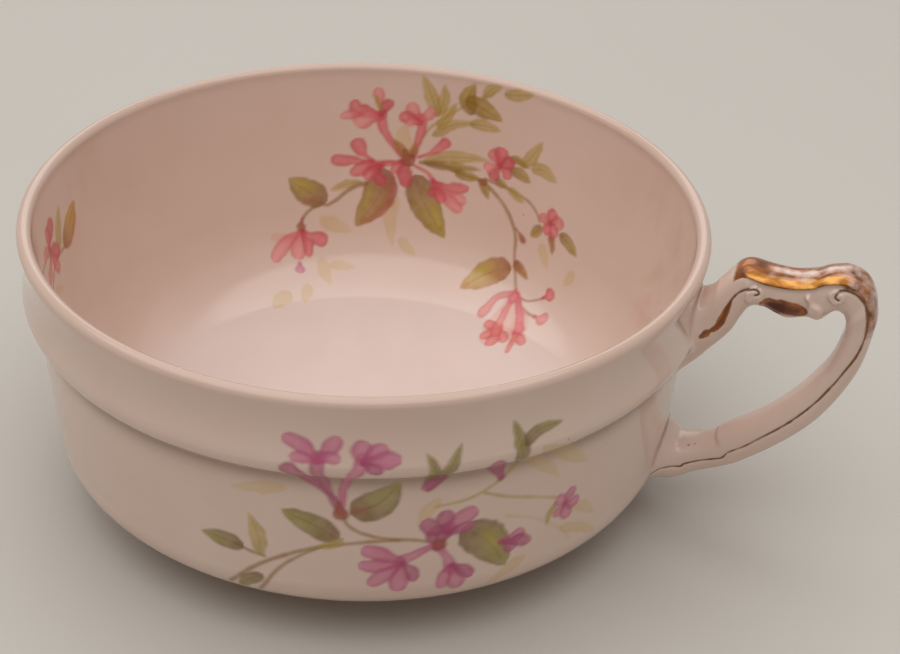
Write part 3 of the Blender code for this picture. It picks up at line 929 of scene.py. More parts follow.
        # Heat and dirt turned the worn gold from orange to brown in drifts of about two millimetres.
        # Fingers polished the gold that lasted in streaks about three millimetres long and one high
        along = add_node(tree, "ShaderNodeMapping", {
            "Vector": place, "Scale": self.streak_shape}).outputs[0]
        tones = []
        for where, size, detail, (low, high), first, second in (
                (place, self.burn, 3.0, self.burnt_range, self.worn_gold, self.burnt_gold),
                (along, self.streak, 2.0, self.polished_range, self.dull_gold, self.bright_gold)):
            noise = add_node(tree, "ShaderNodeTexNoise", {
                "Vector": where, "Scale": 1 / (size * MM), "Detail": detail})
            share = add_node(tree, "ShaderNodeMapRange", {
                "Value": noise.outputs["Fac"], "From Min": low, "From Max": high}).outputs["Result"]
            tones.append(add_node(tree, "ShaderNodeMix", {
                SHARE: share, FIRST: linear(first), SECOND: linear(second),
            }, data_type="RGBA").outputs[MIXED])
        rubbed, gold = tones
        colour = ground
        # The stain also paints shade on the bracket under the thumb rest
        for share, tone in ((worn, rubbed), (line, linear(self.line_gold)),
                            (stain_and_shade_amount, linear(self.stain_and_shade)), (bright, gold)):
            colour = add_node(tree, "ShaderNodeMix", {
                SHARE: share, FIRST: colour, SECOND: tone,
            }, data_type="RGBA").outputs[MIXED]
        tree.links.new(colour, shader.inputs["Base Color"])
        half = add_node(tree, "ShaderNodeMath", {0: worn, 1: self.worn_metal}, operation="MULTIPLY")
        metal = add_node(tree, "ShaderNodeMath", {0: half.outputs[0], 1: bright}, operation="MAXIMUM")
        tree.links.new(metal.outputs[0], shader.inputs["Metallic"])
        rough = add_node(tree, "ShaderNodeMapRange", {
            "Value": metal.outputs[0], "To Min": self.gloss, "To Max": self.gold_roughness})
        tree.links.new(rough.outputs["Result"], shader.inputs["Roughness"])


@dataclass(frozen=True)
class BiscuitPorcelain:
    """Bare fired porcelain, ground flat where the foot stands: matt, a little grey, with a fine grain.

    Attributes:
        name: What it is and how it was made.
        light: Colour of the clean clay.
        dirty: Colour of the clay that took up dirt.
        grain: Size of the grain.
        grain_height: Height of the grain.
        grain_strength: How much of that height shows.
        roughness: Its roughness.
    """

    name: str = "unglazed biscuit porcelain"
    light: str = "#d3c3b6"
    dirty: str = "#b39f8e"
    grain: float = 0.5
    grain_height: float = 0.03
    grain_strength: float = 0.3
    roughness: float = 0.62

    def make(self) -> bpy.types.Material:
        """Make the finish.

        Returns:
            The finish as a material.
        """
        material, shader, place = new_finish(self.name)
        tree = material.node_tree
        shader.inputs["Roughness"].default_value = self.roughness
        noise = add_node(tree, "ShaderNodeTexNoise", {
            "Vector": place, "Scale": 1 / (self.grain * MM), "Detail": 4.0})
        colour = add_node(tree, "ShaderNodeMix", {
            SHARE: noise.outputs["Fac"], FIRST: linear(self.light), SECOND: linear(self.dirty),
        }, data_type="RGBA")
        tree.links.new(colour.outputs[MIXED], shader.inputs["Base Color"])
        bump = add_node(tree, "ShaderNodeBump", {
            "Height": noise.outputs["Fac"], "Strength": self.grain_strength,
            "Distance": self.grain_height * MM})
        tree.links.new(bump.outputs["Normal"], shader.inputs["Normal"])
        return material


@dataclass(frozen=True)
class StudioPaper:
    """Matt background paper with a faint, soft unevenness.

    Attributes:
        name: What it is.
        light: Its colour.
        dark: Its colour where it is a little darker.
        cloud: Size of its lighter and darker clouds.
        roughness: Its roughness.
        shine: How much light its surface throws straight back.
    """

    name: str = "pale studio paper"
    light: str = "#cbc6bf"
    dark: str = "#c5c0b8"
    cloud: float = 180.0
    roughness: float = 0.85
    shine: float = 0.2

    def make(self) -> bpy.types.Material:
        """Make the finish.

        Returns:
            The finish as a material.
        """
        material, shader, place = new_finish(self.name)
        tree = material.node_tree
        shader.inputs["Roughness"].default_value = self.roughness
        shader.inputs["Specular IOR Level"].default_value = self.shine
        noise = add_node(tree, "ShaderNodeTexNoise", {"Vector": place, "Scale": 1 / (self.cloud * MM)})
        colour = add_node(tree, "ShaderNodeMix", {
            SHARE: noise.outputs["Fac"], FIRST: linear(self.light), SECOND: linear(self.dark),
        }, data_type="RGBA")
        tree.links.new(colour.outputs[MIXED], shader.inputs["Base Color"])
        return material


# A run of a section: it gives the points (radius, height) at shares of its length, and has so many rows
Run = tuple[Callable[[np.ndarray], np.ndarray], int]


def straight(start: Point, end: Point, rows: int) -> Run:
    """Make a straight run of a section.

    Args:
        start: Where it starts.
        end: Where it ends.
        rows: Its number of rows.

    Returns:
        The run.
    """

    def place(share: np.ndarray) -> np.ndarray:
        """Return points on the line."""
        return np.array(start) + np.outer(share, np.subtract(end, start))

    return place, rows


def round_run(centre: Point, radius: float, start: float, end: float, rows: int) -> Run:
    """Make an arc of a section.

    Args:
        centre: The arc's centre.
        radius: Its radius.
        start: The angle that it starts at, in radians.
        end: The angle that it ends at, in radians.
        rows: Its number of rows.

    Returns:
        The run.
    """

    def place(share: np.ndarray) -> np.ndarray:
        """Return points on the arc."""
        angle = start + (end - start) * share
        return np.column_stack([centre[0] + radius * np.cos(angle), centre[1] + radius * np.sin(angle)])

    return place, rows


def bent(start: Point, corner: Point, end: Point, rows: int) -> Run:
    """Make a run of a section that rounds a corner.

    Args:
        start: Where it starts.
        corner: The corner that it rounds.
        end: Where it ends.
        rows: Its number of rows.

    Returns:
        The run.
    """

    def place(share: np.ndarray) -> np.ndarray:
        """Return points on the bend."""
        first, middle, last = (1 - share) ** 2, 2 * share * (1 - share), share**2
        return np.outer(first, start) + np.outer(middle, corner) + np.outer(last, end)

    return place, rows


def row_count(runs: Sequence[Run]) -> int:
    """Return how many rows some runs of a section have together."""
    return sum(rows for _, rows in runs)


def trace(runs: Sequence[Run], finer: int = 1) -> np.ndarray:
    """Lay the runs of a section end to end.

    Args:
        runs: The runs in order, each starting where the last one ended.
        finer: How many points to give for each row.

    Returns:
        The section's points (radius, height), one row each.
    """
    parts = [place(np.arange(rows * finer) / (rows * finer)) for place, rows in runs]
    last_place, _ = runs[-1]
    return np.vstack([*parts, last_place(np.array([1.0]))])


def turn(name: str, section: np.ndarray, axis_x: float, steps: int, weld: float = 0.002) -> bpy.types.Object:
    """Spin a half section about the bowl's axis, as clay is turned on a wheel.

    Args:
        name: The piece's name.
        section: The half section (radius, height) in order, on the axis at both ends or closed on itself.
        axis_x: Where the axis stands.
        steps: How many steps make the turn.
        weld: How close together points become one.

    Returns:
        The turned piece.
    """
    bpy.ops.object.select_all(action="DESELECT")
    bpy.ops.mesh.primitive_plane_add(size=1.0 * MM)
    piece = bpy.context.object
    piece.name = name
    piece.data.name = name
    with editing(piece):
        bpy.ops.mesh.select_all(action="SELECT")
        bpy.ops.mesh.merge(type="CENTER")
        first = (axis_x + section[0][0], 0.0, section[0][1])
        bpy.ops.transform.translate(value=[part * MM for part in first])
        for radial, upward in np.diff(section, axis=0):
            step = (radial * MM, 0.0, upward * MM)
            bpy.ops.mesh.extrude_region_move(TRANSFORM_OT_translate={"value": step})
        bpy.ops.mesh.select_all(action="SELECT")
        bpy.ops.mesh.spin(
            steps=steps, angle=2 * math.pi, center=(axis_x * MM, 0.0, 0.0), axis=(0.0, 0.0, 1.0))
        bpy.ops.mesh.select_all(action="SELECT")
        bpy.ops.mesh.remove_doubles(threshold=weld * MM)
        bpy.ops.mesh.normals_make_consistent(inside=False)
        bpy.ops.mesh.faces_shade_smooth()
    return piece


@dataclass
class Bowl:
    """The bowl: lip, waisted collar with its bead and step, straight lower wall, rounded base and floor.

    Attributes:
        axis_x: Where its axis stands.
        rim_radius: Radius of the lip, outside.
        rim_height: Height of the lip's top.
        lip: Thickness of the round lip.
        collar_waist: How far the collar draws in between lip and bead.
        bead_drop: How far below the lip's top the bead is widest.
        bead_radius: Radius there.
        bead_round: Radius of the bead's own curve.
        bead_turn: How far that curve turns under, in radians.
        step: Drop from the bead's end to the corner under it.
        step_fillet: Length of the fillet below that corner.
        lower_radius: Radius of the lower wall at its top.
        base_radius: Radius of the lower wall at its foot.
        base_round: Radius of the rounded base.
        base_round_height: Height of that round's centre.
        wall: Thickness of the wall at its foot.
        wall_foot: Height of the wall's foot, inside.
        floor_height: Height of the floor, inside.
        corner_rise: How high up the wall the inside corner's round starts.
        corner_spread: How far in on the floor it ends.
        seat_radius: Radius of the underside's flat seat for the foot.
        seat_height: Height of that seat.
        steps: Steps in the turn.
        finer: How many times finer than the mesh the section is measured.
        cuts: Cuts in an edge of a face under a print.
        print_margin: How far past a print faces are still divided.
        crease_shade_width: How far up from the crease under the bead the painted shade reaches.
        crease_shade_run: How far down the painted shade reaches.
        crease_shade_tone: Colour of the painted shade under the bead.
        crease_shade_density: How much of the ground it hides.
        lip_width: How far from the lip's top the darker tone reaches.
        lip_tone: Colour of the darker lip.
        lip_density: How much of the ground that hides.
        floor_sheen_tone: Colour of the painted sheen that makes the floor paler.
        floor_sheen_density: How much of the ground that hides.
        floor_sheen_depth: Lengths from the lip's top at which the painted sheen starts and is full.
        sprays: The prints.
    """

    axis_x: float
    rim_radius: float
    rim_height: float
    lip: float = 2.1
    collar_waist: float = 0.65
    bead_drop: float = 10.2
    bead_radius: float = 49.9
    bead_round: float = 3.2
    bead_turn: float = math.radians(58.0)
    step: float = 0.4
    step_fillet: float = 0.5
    lower_radius: float = 48.0
    base_radius: float = 46.65
    base_round: float = 6.5
    base_round_height: float = 12.6
    wall: float = 2.25
    wall_foot: float = 15.7
    floor_height: float = 5.7
    corner_rise: float = 14.0
    corner_spread: float = 16.0
    seat_radius: float = 29.3
    seat_height: float = 3.1

    steps: int = 212
    finer: int = 12
    cuts: int = 4
    print_margin: float = 0.9
    # Painted shade in the crease under the bead: a darker band, broader below, that stands in for the bead's
    # shadow
    crease_shade_width: float = 1.0
    crease_shade_run: float = 1.9
    crease_shade_tone: str = "#866650"
    crease_shade_density: float = 0.64
    lip_width: float = 1.6
    lip_tone: str = "#b08a74"
    lip_density: float = 0.42
    # Painted sheen: the inside floor is painted paler, standing in for light that its glaze reflects
    floor_sheen_tone: str = "#ddcfcb"
    floor_sheen_density: float = 0.60
    floor_sheen_depth: tuple[float, float] = (37.0, 46.0)
    sprays: tuple[Spray, ...] = (MAIN_SPRAY, FRONT_SPRAY, LEFT_SPRIG)

    # Runs of the outside down to the fillet under the bead, and rows from its end back to the crease
    RUNS_TO_FILLET = 4
    CREASE_ROWS = 3

    def lip_centre(self) -> Point:
        """Return the middle of the round lip."""
        return (self.rim_radius - self.lip / 2, self.rim_height - self.lip / 2)

    def outside(self) -> list[Run]:
        """Draw the section's outside.

        Returns:
            Its runs, from the top of the lip to the middle of the underside.
        """
        half_lip = self.lip / 2
        lip_centre = self.lip_centre()
        bead_height = self.rim_height - self.bead_drop
        lip_edge, bead_edge = (self.rim_radius, lip_centre[1]), (self.bead_radius, bead_height)
        chord, collar_rows = straight(lip_edge, bead_edge, rows=9)

        def collar(share: np.ndarray) -> np.ndarray:
            """Return points down the collar, which draws in between lip and bead."""
            return chord(share) - np.outer(self.collar_waist * np.sin(math.pi * share), (1.0, 0.0))

        bead_centre = (self.bead_radius - self.bead_round, bead_height)
        bead_end = (bead_centre[0] + self.bead_round * math.cos(self.bead_turn),
                    bead_centre[1] - self.bead_round * math.sin(self.bead_turn))
        corner = (self.lower_radius, bead_end[1] - self.step)
        base_top = (self.base_radius, self.base_round_height)
        down = np.subtract(base_top, corner)
        below = tuple(np.add(corner, down * self.step_fillet / np.hypot(*down)))
        base_centre = (self.base_radius - self.base_round, self.base_round_height)
        across, up = self.seat_radius - base_centre[0], self.seat_height - base_centre[1]
        base_end = math.atan2(up, across) + math.acos(self.base_round / math.hypot(across, up))
        base_foot = (base_centre[0] + self.base_round * math.cos(base_end),
                     base_centre[1] + self.base_round * math.sin(base_end))
        seat_edge = (self.seat_radius, self.seat_height)
        return [
            round_run(lip_centre, half_lip, math.pi / 2, 0.0, rows=8),
            (collar, collar_rows),
            round_run(bead_centre, self.bead_round, 0.0, -self.bead_turn, rows=8),
            bent(bead_end, corner, below, rows=5),
            straight(below, base_top, rows=15),
            round_run(base_centre, self.base_round, 0.0, base_end, rows=12),
            straight(base_foot, seat_edge, rows=6),
            straight(seat_edge, (0.0, self.seat_height), rows=8),
        ]

    def inside(self) -> list[Run]:
        """Draw the section's inside.

        Returns:
            Its runs, from the top of the lip to the middle of the floor.
        """
        half_lip = self.lip / 2
        lip_centre = self.lip_centre()
        top = (lip_centre[0] - half_lip, lip_centre[1])
        inner = self.base_radius - self.wall
        lean = (top[0] - inner) / (top[1] - self.wall_foot)
        corner = (inner - lean * (self.wall_foot - self.floor_height), self.floor_height)
        wall_end = (corner[0] + lean * self.corner_rise, self.floor_height + self.corner_rise)
        floor_edge = (corner[0] - self.corner_spread, self.floor_height)
        return [
            round_run(lip_centre, half_lip, math.pi / 2, math.pi, rows=8),
            straight(top, wall_end, rows=20),
            bent(wall_end, corner, floor_edge, rows=21),
            straight(floor_edge, (0.0, self.floor_height), rows=14),
        ]

    def section(self, finer: int = 1) -> np.ndarray:
        """Return the half section, from the floor's middle over the lip to the underside's middle."""
        return np.vstack([trace(self.inside(), finer)[::-1], trace(self.outside(), finer)[1:]])

    def depths(self, finer: int = 1) -> np.ndarray:
        """Measure along the section.

        Args:
            finer: How many points the section has for each row.

        Returns:
            Each section point's length from the top of the lip, negative on the inside.
        """
        length = travel(self.section(self.finer))
        length -= length[row_count(self.inside()) * self.finer]
        return length[:: self.finer // finer]

    def wall_radius(self, height: np.ndarray) -> np.ndarray:
        """Return the radius of the outside at each height."""
        outside = trace(self.outside()[:-1], self.finer)
        return np.interp(height, outside[::-1, 1], outside[::-1, 0])

    def measure(self, mesh: bpy.types.Mesh) -> tuple[np.ndarray, np.ndarray]:
        """Read where the vertices lie on the bowl.

        Args:
            mesh: The bowl's mesh, which holds the lengths along the section.

        Returns:
            Each vertex's angle about the axis, from the handle, and its length from the top of the lip.
        """
        places = positions(mesh)
        depth = np.empty(len(places), dtype=np.float32)
        mesh.attributes["depth"].data.foreach_get("value", depth)
        return np.arctan2(places[:, 1], places[:, 0] - self.axis_x), depth

    def refine(self, piece: bpy.types.Object) -> None:
        """Divide the faces under the prints, so that the print's edges stay fine.

        Args:
            piece: The bowl.
        """
        mesh = piece.data
        angle, depth = self.measure(mesh)
        chosen = np.zeros(len(mesh.vertices), dtype=bool)
        for spray in self.sprays:
            chosen |= spray.touches(spray.flatten(angle, depth), self.print_margin)
        picked = [bool(chosen[list(face.vertices)].any()) for face in mesh.polygons]
        mesh.vertices.foreach_set("select", np.zeros(len(mesh.vertices), dtype=bool))
        mesh.edges.foreach_set("select", np.zeros(len(mesh.edges), dtype=bool))
        mesh.polygons.foreach_set("select", picked)
        with editing(piece, faces=True):
            bpy.ops.mesh.subdivide(number_cuts=self.cuts, ngon=False)

    def settle(self, piece: bpy.types.Object) -> None:
        """Bring divided faces back to the true turned surface, with its true normals.

        Args:
            piece: The bowl.
        """
        mesh = piece.data
        angle, depth = self.measure(mesh)
        fine = self.section(self.finer)
        fine_depth = self.depths(self.finer)
        radius, height = (np.interp(depth, fine_depth, fine[:, column]) for column in (0, 1))
        across, deep = radius * np.cos(angle), radius * np.sin(angle)
        move_to(mesh, np.column_stack([self.axis_x + across, deep, height]))
        along = np.gradient(fine, fine_depth, axis=0)
        out, up = (np.interp(depth, fine_depth, part) for part in (-along[:, 1], along[:, 0]))
        normals = np.column_stack([out * np.cos(angle), out * np.sin(angle), up])
        mesh.normals_split_custom_set_from_vertices(normals / np.linalg.norm(normals, axis=1)[:, None])

    def tint(self, depth: np.ndarray) -> np.ndarray:
        """Paint shade into the crease under the bead, darken the lip's top and paint a paler sheen on the
        floor.

        Args:
            depth: Each vertex's length along the section from the top of the lip.

        Returns:
            The first film of colour, to lay the print on.
        """
        to_fillet = row_count(self.outside()[:self.RUNS_TO_FILLET])
        crease = self.depths()[row_count(self.inside()) + to_fillet - self.CREASE_ROWS]
        # Painted shade under the bead, reaching further down than up
        spread = np.where(depth > crease, self.crease_shade_run, self.crease_shade_width)
        crease_shade = self.crease_shade_density * np.exp(-(((depth - crease) / spread) ** 2))
        # Darker tone at the lip's top
        worn = self.lip_density * np.exp(-((depth / self.lip_width) ** 2))
        # Painted sheen that makes the floor paler
        pale = self.floor_sheen_density * ease(*self.floor_sheen_depth, -depth)
        amounts = ((crease_shade, self.crease_shade_tone), (worn, self.lip_tone), (pale, self.floor_sheen_tone))
        colour = sum(np.outer(amount, linear(tone)[:3]) for amount, tone in amounts)
        return np.append(colour, (crease_shade + worn + pale)[:, None], axis=1)

    def build(self) -> bpy.types.Object:
        """Turn the bowl, print it and dress it.

        Returns:
            The finished bowl.
        """
        section = self.section()
        piece = turn("bowl", section, self.axis_x, self.steps)
        mesh = piece.data
        places = positions(mesh)
        radius = np.hypot(places[:, 0] - self.axis_x, places[:, 1])
        nearest = np.hypot(radius[:, None] - section[:, 0], places[:, 2:] - section[:, 1]).argmin(axis=1)
        layer = mesh.attributes.new("depth", "FLOAT", "POINT")
        layer.data.foreach_set("value", self.depths()[nearest].astype(np.float32))
        self.refine(piece)
        self.settle(piece)
        angle, depth = self.measure(mesh)
        film = self.tint(depth)
        for spray in self.sprays:
            spray.lay(spray.flatten(angle, depth), film)
        paint(mesh, "print", film)
        mesh.materials.append(GlazedPorcelain("printed and glazed porcelain", print_layer="print").make())
        return piece


@dataclass
class FootRing:
    """The low ring under the bowl, glazed but for the ground tread that it stands on.

    Attributes:
        axis_x: Where its axis stands.
        radius: Its radius, outside.
        width: Its width across the wall of the ring.
        top: Height of its top, under the bowl.
        fillet: How far it spreads where it meets the bowl.
        fillet_drop: How far below its top the fillets' corners lie.
        neck: Height at which it starts to spread.
        shoulder: Height at which it starts to round towards the tread.
        tread: Width of the ground tread.
        bare: Height up to which it is bare.
        steps: Steps in the turn.
        round_rows: Rows of each round.
        side_rows: Rows of each side, and of the tread.
        top_rows: Rows of the top.
    """

    axis_x: float
    radius: float
    width: float = 3.2
    top: float = 3.5
    fillet: float = 0.8
    fillet_drop: float = 0.2
    neck: float = 2.2
    shoulder: float = 0.7
    tread: float = 1.8
    bare: float = 0.25
    steps: int = 216
    round_rows: int = 6
    side_rows: int = 3
    top_rows: int = 4

    def section(self) -> np.ndarray:
        """Draw the ring's closed section.

        Returns:
            Its points, round from its inner top edge.
        """
        outer, inner = self.radius, self.radius - self.width
        middle = self.radius - self.width / 2
        left, right = middle - self.tread / 2, middle + self.tread / 2
        corner = self.top - self.fillet_drop
        inner_top, outer_top = (inner - self.fillet, self.top), (outer + self.fillet, self.top)
        return trace([
            bent(inner_top, (inner, corner), (inner, self.neck), self.round_rows),
            straight((inner, self.neck), (inner, self.shoulder), self.side_rows),
            bent((inner, self.shoulder), (inner, 0.0), (left, 0.0), self.round_rows),
            straight((left, 0.0), (right, 0.0), self.side_rows),
            bent((right, 0.0), (outer, 0.0), (outer, self.shoulder), self.round_rows),
            straight((outer, self.shoulder), (outer, self.neck), self.side_rows),
            bent((outer, self.neck), (outer, corner), outer_top, self.round_rows),
            straight(outer_top, inner_top, self.top_rows),
        ])

    def build(self) -> bpy.types.Object:
        """Turn the ring and dress it, with its tread left bare.

        Returns:
            The finished ring.
        """
        piece = turn("foot_ring_turned", self.section(), self.axis_x, self.steps)
        mesh = piece.data
        mesh.materials.append(GlazedPorcelain("glazed porcelain foot").make())
        mesh.materials.append(BiscuitPorcelain().make())
        for face in mesh.polygons:
            face.material_index = int(face.center.z < self.bare * MM)
        return piece


@dataclass(frozen=True)
class Carving:
    """A raised or sunk mark on both sides of the handle.

    Attributes:
        stroke: Its outline, as (out past the rim, up from the rim).
        height: How far it stands out, or is sunk where negative.
    """

    stroke: Stroke
    height: float


def mark(form: Form, width: float, *path: Point, soft: float = 0.18) -> Stroke:
    """Return the outline of a mark on the handle."""
    return Stroke(form, GROUND, path, width, soft)


LEFT_SCROLL = ((7.3, -2.1), (7.7, -1.85), (7.6, -1.45), (7.0, -1.25), (6.0, -1.5), (5.0, -2.3), (4.3, -3.3),
               (3.8, -4.5), (3.5, -5.8), (3.1, -7.3), (2.2, -8.8), (1.0, -9.5))
RIGHT_SCROLL = ((18.5, -0.7), (18.05, -0.45), (18.15, 0.15), (18.65, 0.55), (19.4, 0.67), (20.65, 0.35),
                (21.7, -0.5), (22.45, -1.6), (22.85, -3.1), (22.95, -5.0), (22.75, -7.2), (22.2, -9.4),
                (21.1, -11.9), (19.7, -14.8), (17.6, -18.4), (14.5, -22.4), (10.8, -26.0), (8.7, -27.95),
                (6.65, -29.45), (5.8, -30.6), (4.5, -31.15), (0.75, -32.5), (-0.1, -33.1), (-2.2, -33.0),
                (-3.4, -33.3), (-4.4, -34.0))


@dataclass
class Handle:
    """The cast handle: arm, thumb rest on its scrolled bracket, and the loop down to the lower root.

    Attributes:
        bowl: The bowl that it is stuck on.
        reach: How far it reaches out past the rim.
        rise: How far its top stands above the rim.
        lower_root: Height of its lowest point.
        band: Half its width along the arm and the loop.
        thumb: Half its width at the thumb rest.
        root: Half its width where it meets the bowl.
        root_flare: How far out from the lower wall the roots start to widen.
        fillet: Radius of the roots' fillets, seen from the side.
        side_fillet: Radius of the roots' fillets, seen from above.
        squareness: Power of its rounded section, where 2 is an ellipse.
        slab: Thickness of the thumb rest over its bracket.
        bracket_sink: How far the bracket's sides are set back.
        arm_step: Height of the step in the finger hole's edge.
        step_at: How far out past the rim that step lies.
        sunk: How deep the roots run into the bowl's wall.
        rows: Rows of points along it.
        ring: Points round it.
        weld: How close together points become one.
        stations: Pairs of points across from each other on its outer edge and on the finger hole's edge.
            A point is (out, down): shares of the reach past the rim and of the height from the handle's top
            to its lowest point.
        thumb_first: The station at which the thumb rest starts.
        thumb_last: The station at which it ends.
        carvings: What is raised or sunk on its sides.
        lines: The thin painted lines.
        worn_marks: The rubbed gold on its sides.
        stains_and_shade: The dirt on that gold, with painted shade on the bracket, and brown specks.
    """

    bowl: Bowl
    reach: float
    rise: float = 2.8
    lower_root: float = 7.2
    band: float = 3.0
    thumb: float = 3.4
    root: float = 4.3
    root_flare: float = 6.0
    fillet: float = 0.8
    side_fillet: float = 3.2
    squareness: float = 2.8
    slab: float = 1.20
    bracket_sink: float = 0.55
    arm_step: float = 0.40
    step_at: float = 4.5
    sunk: float = 1.0
    rows: int = 600
    ring: int = 136
    weld: float = 0.0005

    stations: tuple[tuple[Point, Point], ...] = (
        ((-0.330, 0.330), (-0.380, 0.640)),
        ((0.008, 0.184), (-0.050, 0.484)),
        ((0.083, 0.128), (0.083, 0.394)),
        ((0.150, 0.074), (0.183, 0.314)),
        ((0.200, 0.044), (0.233, 0.244)),
        ((0.258, 0.038), (0.275, 0.198)),
        ((0.358, 0.050), (0.350, 0.190)),
        ((0.496, 0.053), (0.479, 0.218)),
        ((0.617, 0.038), (0.600, 0.202)),
        ((0.692, 0.015), (0.675, 0.206)),
        ((0.792, 0.003), (0.754, 0.160)),
        ((0.887, 0.018), (0.804, 0.166)),
        ((0.954, 0.062), (0.825, 0.190)),
        ((0.990, 0.125), (0.829, 0.224)),
        ((1.000, 0.206), (0.821, 0.270)),
        ((0.938, 0.406), (0.746, 0.408)),
        ((0.733, 0.640), (0.525, 0.592)),
        ((0.375, 0.846), (0.208, 0.760)),
        ((0.083, 0.935), (-0.008, 0.814)),
        ((-0.108, 0.978), (-0.117, 0.800)),
        ((-0.400, 0.900), (-0.400, 0.740)),
    )
    thumb_first: float = 4.6
    thumb_last: float = 12.6

    carvings: tuple[Carving, ...] = (
        Carving(mark(Form.LINE, 1.45, (7.4, -2.25), (7.5, -2.25)), 0.50),
        Carving(mark(Form.LINE, 1.25, (18.3, -0.45), (18.4, -0.45)), 0.45),
        Carving(mark(Form.BUD, 1.10, (14.4, -1.2), (15.2, -2.6), (15.8, -3.4), soft=0.3), 0.75),
        Carving(mark(Form.LINE, 1.45, (9.6, -4.3), (11.6, -4.4), (13.4, -3.9), soft=0.4), -0.35),
        Carving(mark(Form.LINE, 0.22, *LEFT_SCROLL), -0.28),
        Carving(mark(Form.LINE, 0.22, *RIGHT_SCROLL), -0.28),
    )
    lines: tuple[Stroke, ...] = (
        mark(Form.LINE, 0.20, *LEFT_SCROLL),
        mark(Form.LINE, 0.19, *RIGHT_SCROLL),
    )
    worn_marks: tuple[Stroke, ...] = (
        mark(Form.LEAF, 0.62, (1.5, -9.3), (2.5, -8.4), (3.1, -7.2), (3.6, -5.6), (4.3, -3.3), soft=0.25),
        mark(Form.LINE, 0.68, (1.15, -9.4), (0.95, -9.5), soft=0.25),
        mark(Form.LINE, 1.70, (9.4, -3.9), (11.5, -3.8), (13.5, -3.9), soft=0.45),
    )
    stains_and_shade: tuple[Stroke, ...] = (
        # First, dirt on the bracket with painted shade under the thumb rest's overhang; then two brown
        # specks
        mark(Form.LINE, 1.30, (10.2, -4.2), (11.6, -4.1), (12.8, -4.2), soft=0.80),
        mark(Form.LINE, 0.06, (0.6, -30.0), (0.9, -29.9), soft=0.20),
        mark(Form.LINE, 0.12, (1.5, -29.65), (1.8, -29.53), soft=0.20),
    )

    # Spans between two stations, and points on the section before it is cut up evenly, for each one kept
    SPANS = 40
    FINER = 24
    # How much more closely the section's points lie down its sides than across its top and underside
    UP_WEIGHT = 1.3
    # Half the length of the step in the finger hole's edge, and how far out past the rim it is gone
    # again and starts to go
    STEP_HALF = 0.4
    STEP_FADE = (11.0, 6.0)
    # The thumb rest widens from so many stations before its start, and within so many past its start and
    # about its end. Its bracket sinks within so many
    WIDEN_BEFORE = 0.8
    WIDEN = 1.0
    SINK = 0.9
    # How far about the slab's underside its edge blurs, and how far above it the slab's gold is full
    SLAB_BLUR = 0.15
    SLAB_FULL = 0.10
    # How squarely a place has to face sideways, from 0 to 1, to be carved and to be painted
    CARVED = (0.30, 0.80)
    PAINTED = (0.35, 0.7)
    # The gilding's zones: where each starts and is full, in millimetres out past the rim, up from the rim,
    # across from the handle's middle, or down from its top
    SLAB_UP = (-6.0, -4.0)
    STRIP_START, STRIP_END = (4.4, 6.4), (21.2, 18.8)
    STRIP_ACROSS = (-1.6, 1.2)
    BRIGHT_ACROSS = (1.3, 2.1)
    KNOB_START, KNOB_END, KNOB_TAIL = (3.0, 4.8), (9.6, 7.6), (13.5, 10.0)
    END_START, END_DOWN, END_UP = (16.0, 20.0), (2.4, 1.4), (-11.0, -4.0)
    # How much gold is left in the knob's tail, on the strip and at its end; how dense dirt and painted shade
    # are
    TAIL_SHARE = 0.60
    STRIP_SHARE = 0.72
    END_SHARE = 0.68
    STAIN_AND_SHADE_SHARE = 0.80
    # The core that trims the roots: its lowest and highest point, and its rows and steps
    CORE_HEIGHTS = (2.0, 60.0)
    CORE_ROWS = 60
    CORE_STEPS = 144
    # How much of the fillet takes the wall's normals, and how far apart the wall's slope is read
    MELTED = 0.6
    SLOPE_STEP = 0.2

    def edges(self) -> tuple[np.ndarray, np.ndarray, np.ndarray]:
        """Draw the handle's edges, seen from the side.

        Returns:
            Even rows of outer points, hole points and places along the stations.
        """
        top = self.bowl.rim_height + self.rise
        scale = np.array([self.reach, -(top - self.lower_root)])
        origin = np.array([self.bowl.rim_radius, top])
        outer, hole = (
            smooth_line([station[end] for station in self.stations], self.SPANS) * scale + origin
            for end in (0, 1))
        travelled = travel((outer + hole) / 2)
        even = np.linspace(0.0, travelled[-1], self.rows)
        place = np.interp(even, travelled, np.arange(len(travelled)) / self.SPANS)

        def evenly(line: np.ndarray) -> np.ndarray:
            """Return a line's points at even lengths along the middle."""
            return np.column_stack([np.interp(even, travelled, column) for column in line.T])

        outer, hole = evenly(outer), evenly(hole)
        # The arm stands a little proud of its lower root: a small step in the finger hole's edge
        out = hole[:, 0] - self.bowl.rim_radius
        proud = self.arm_step * ease(self.step_at - self.STEP_HALF, self.step_at + self.STEP_HALF, out)
        proud *= ease(*self.STEP_FADE, out)
        proud = np.where(place > self.thumb_last, proud, 0.0)[:, None]
        hole += proud * (hole - outer) / np.linalg.norm(hole - outer, axis=1)[:, None]
        return outer, hole, place

    def half_width(self, middle: np.ndarray, place: np.ndarray) -> np.ndarray:
        """Work out half the handle's width: wider on the thumb rest, flaring at both roots.

        Args:
            middle: The middle of each row, seen from the side.
            place: Each row's place along the stations.

        Returns:
            Half the width at each row.
        """
        on_thumb = ease(self.thumb_first - self.WIDEN_BEFORE, self.thumb_first + self.WIDEN, place)
        on_thumb *= ease(self.thumb_last + self.WIDEN, self.thumb_last - self.WIDEN, place)
        flared = (self.bowl.lower_radius + self.root_flare - middle[:, 0]) / self.root_flare
        near = np.clip(flared, 0.0, 1.0)
        return self.band + (self.thumb - self.band) * on_thumb + (self.root - self.band) * near**2

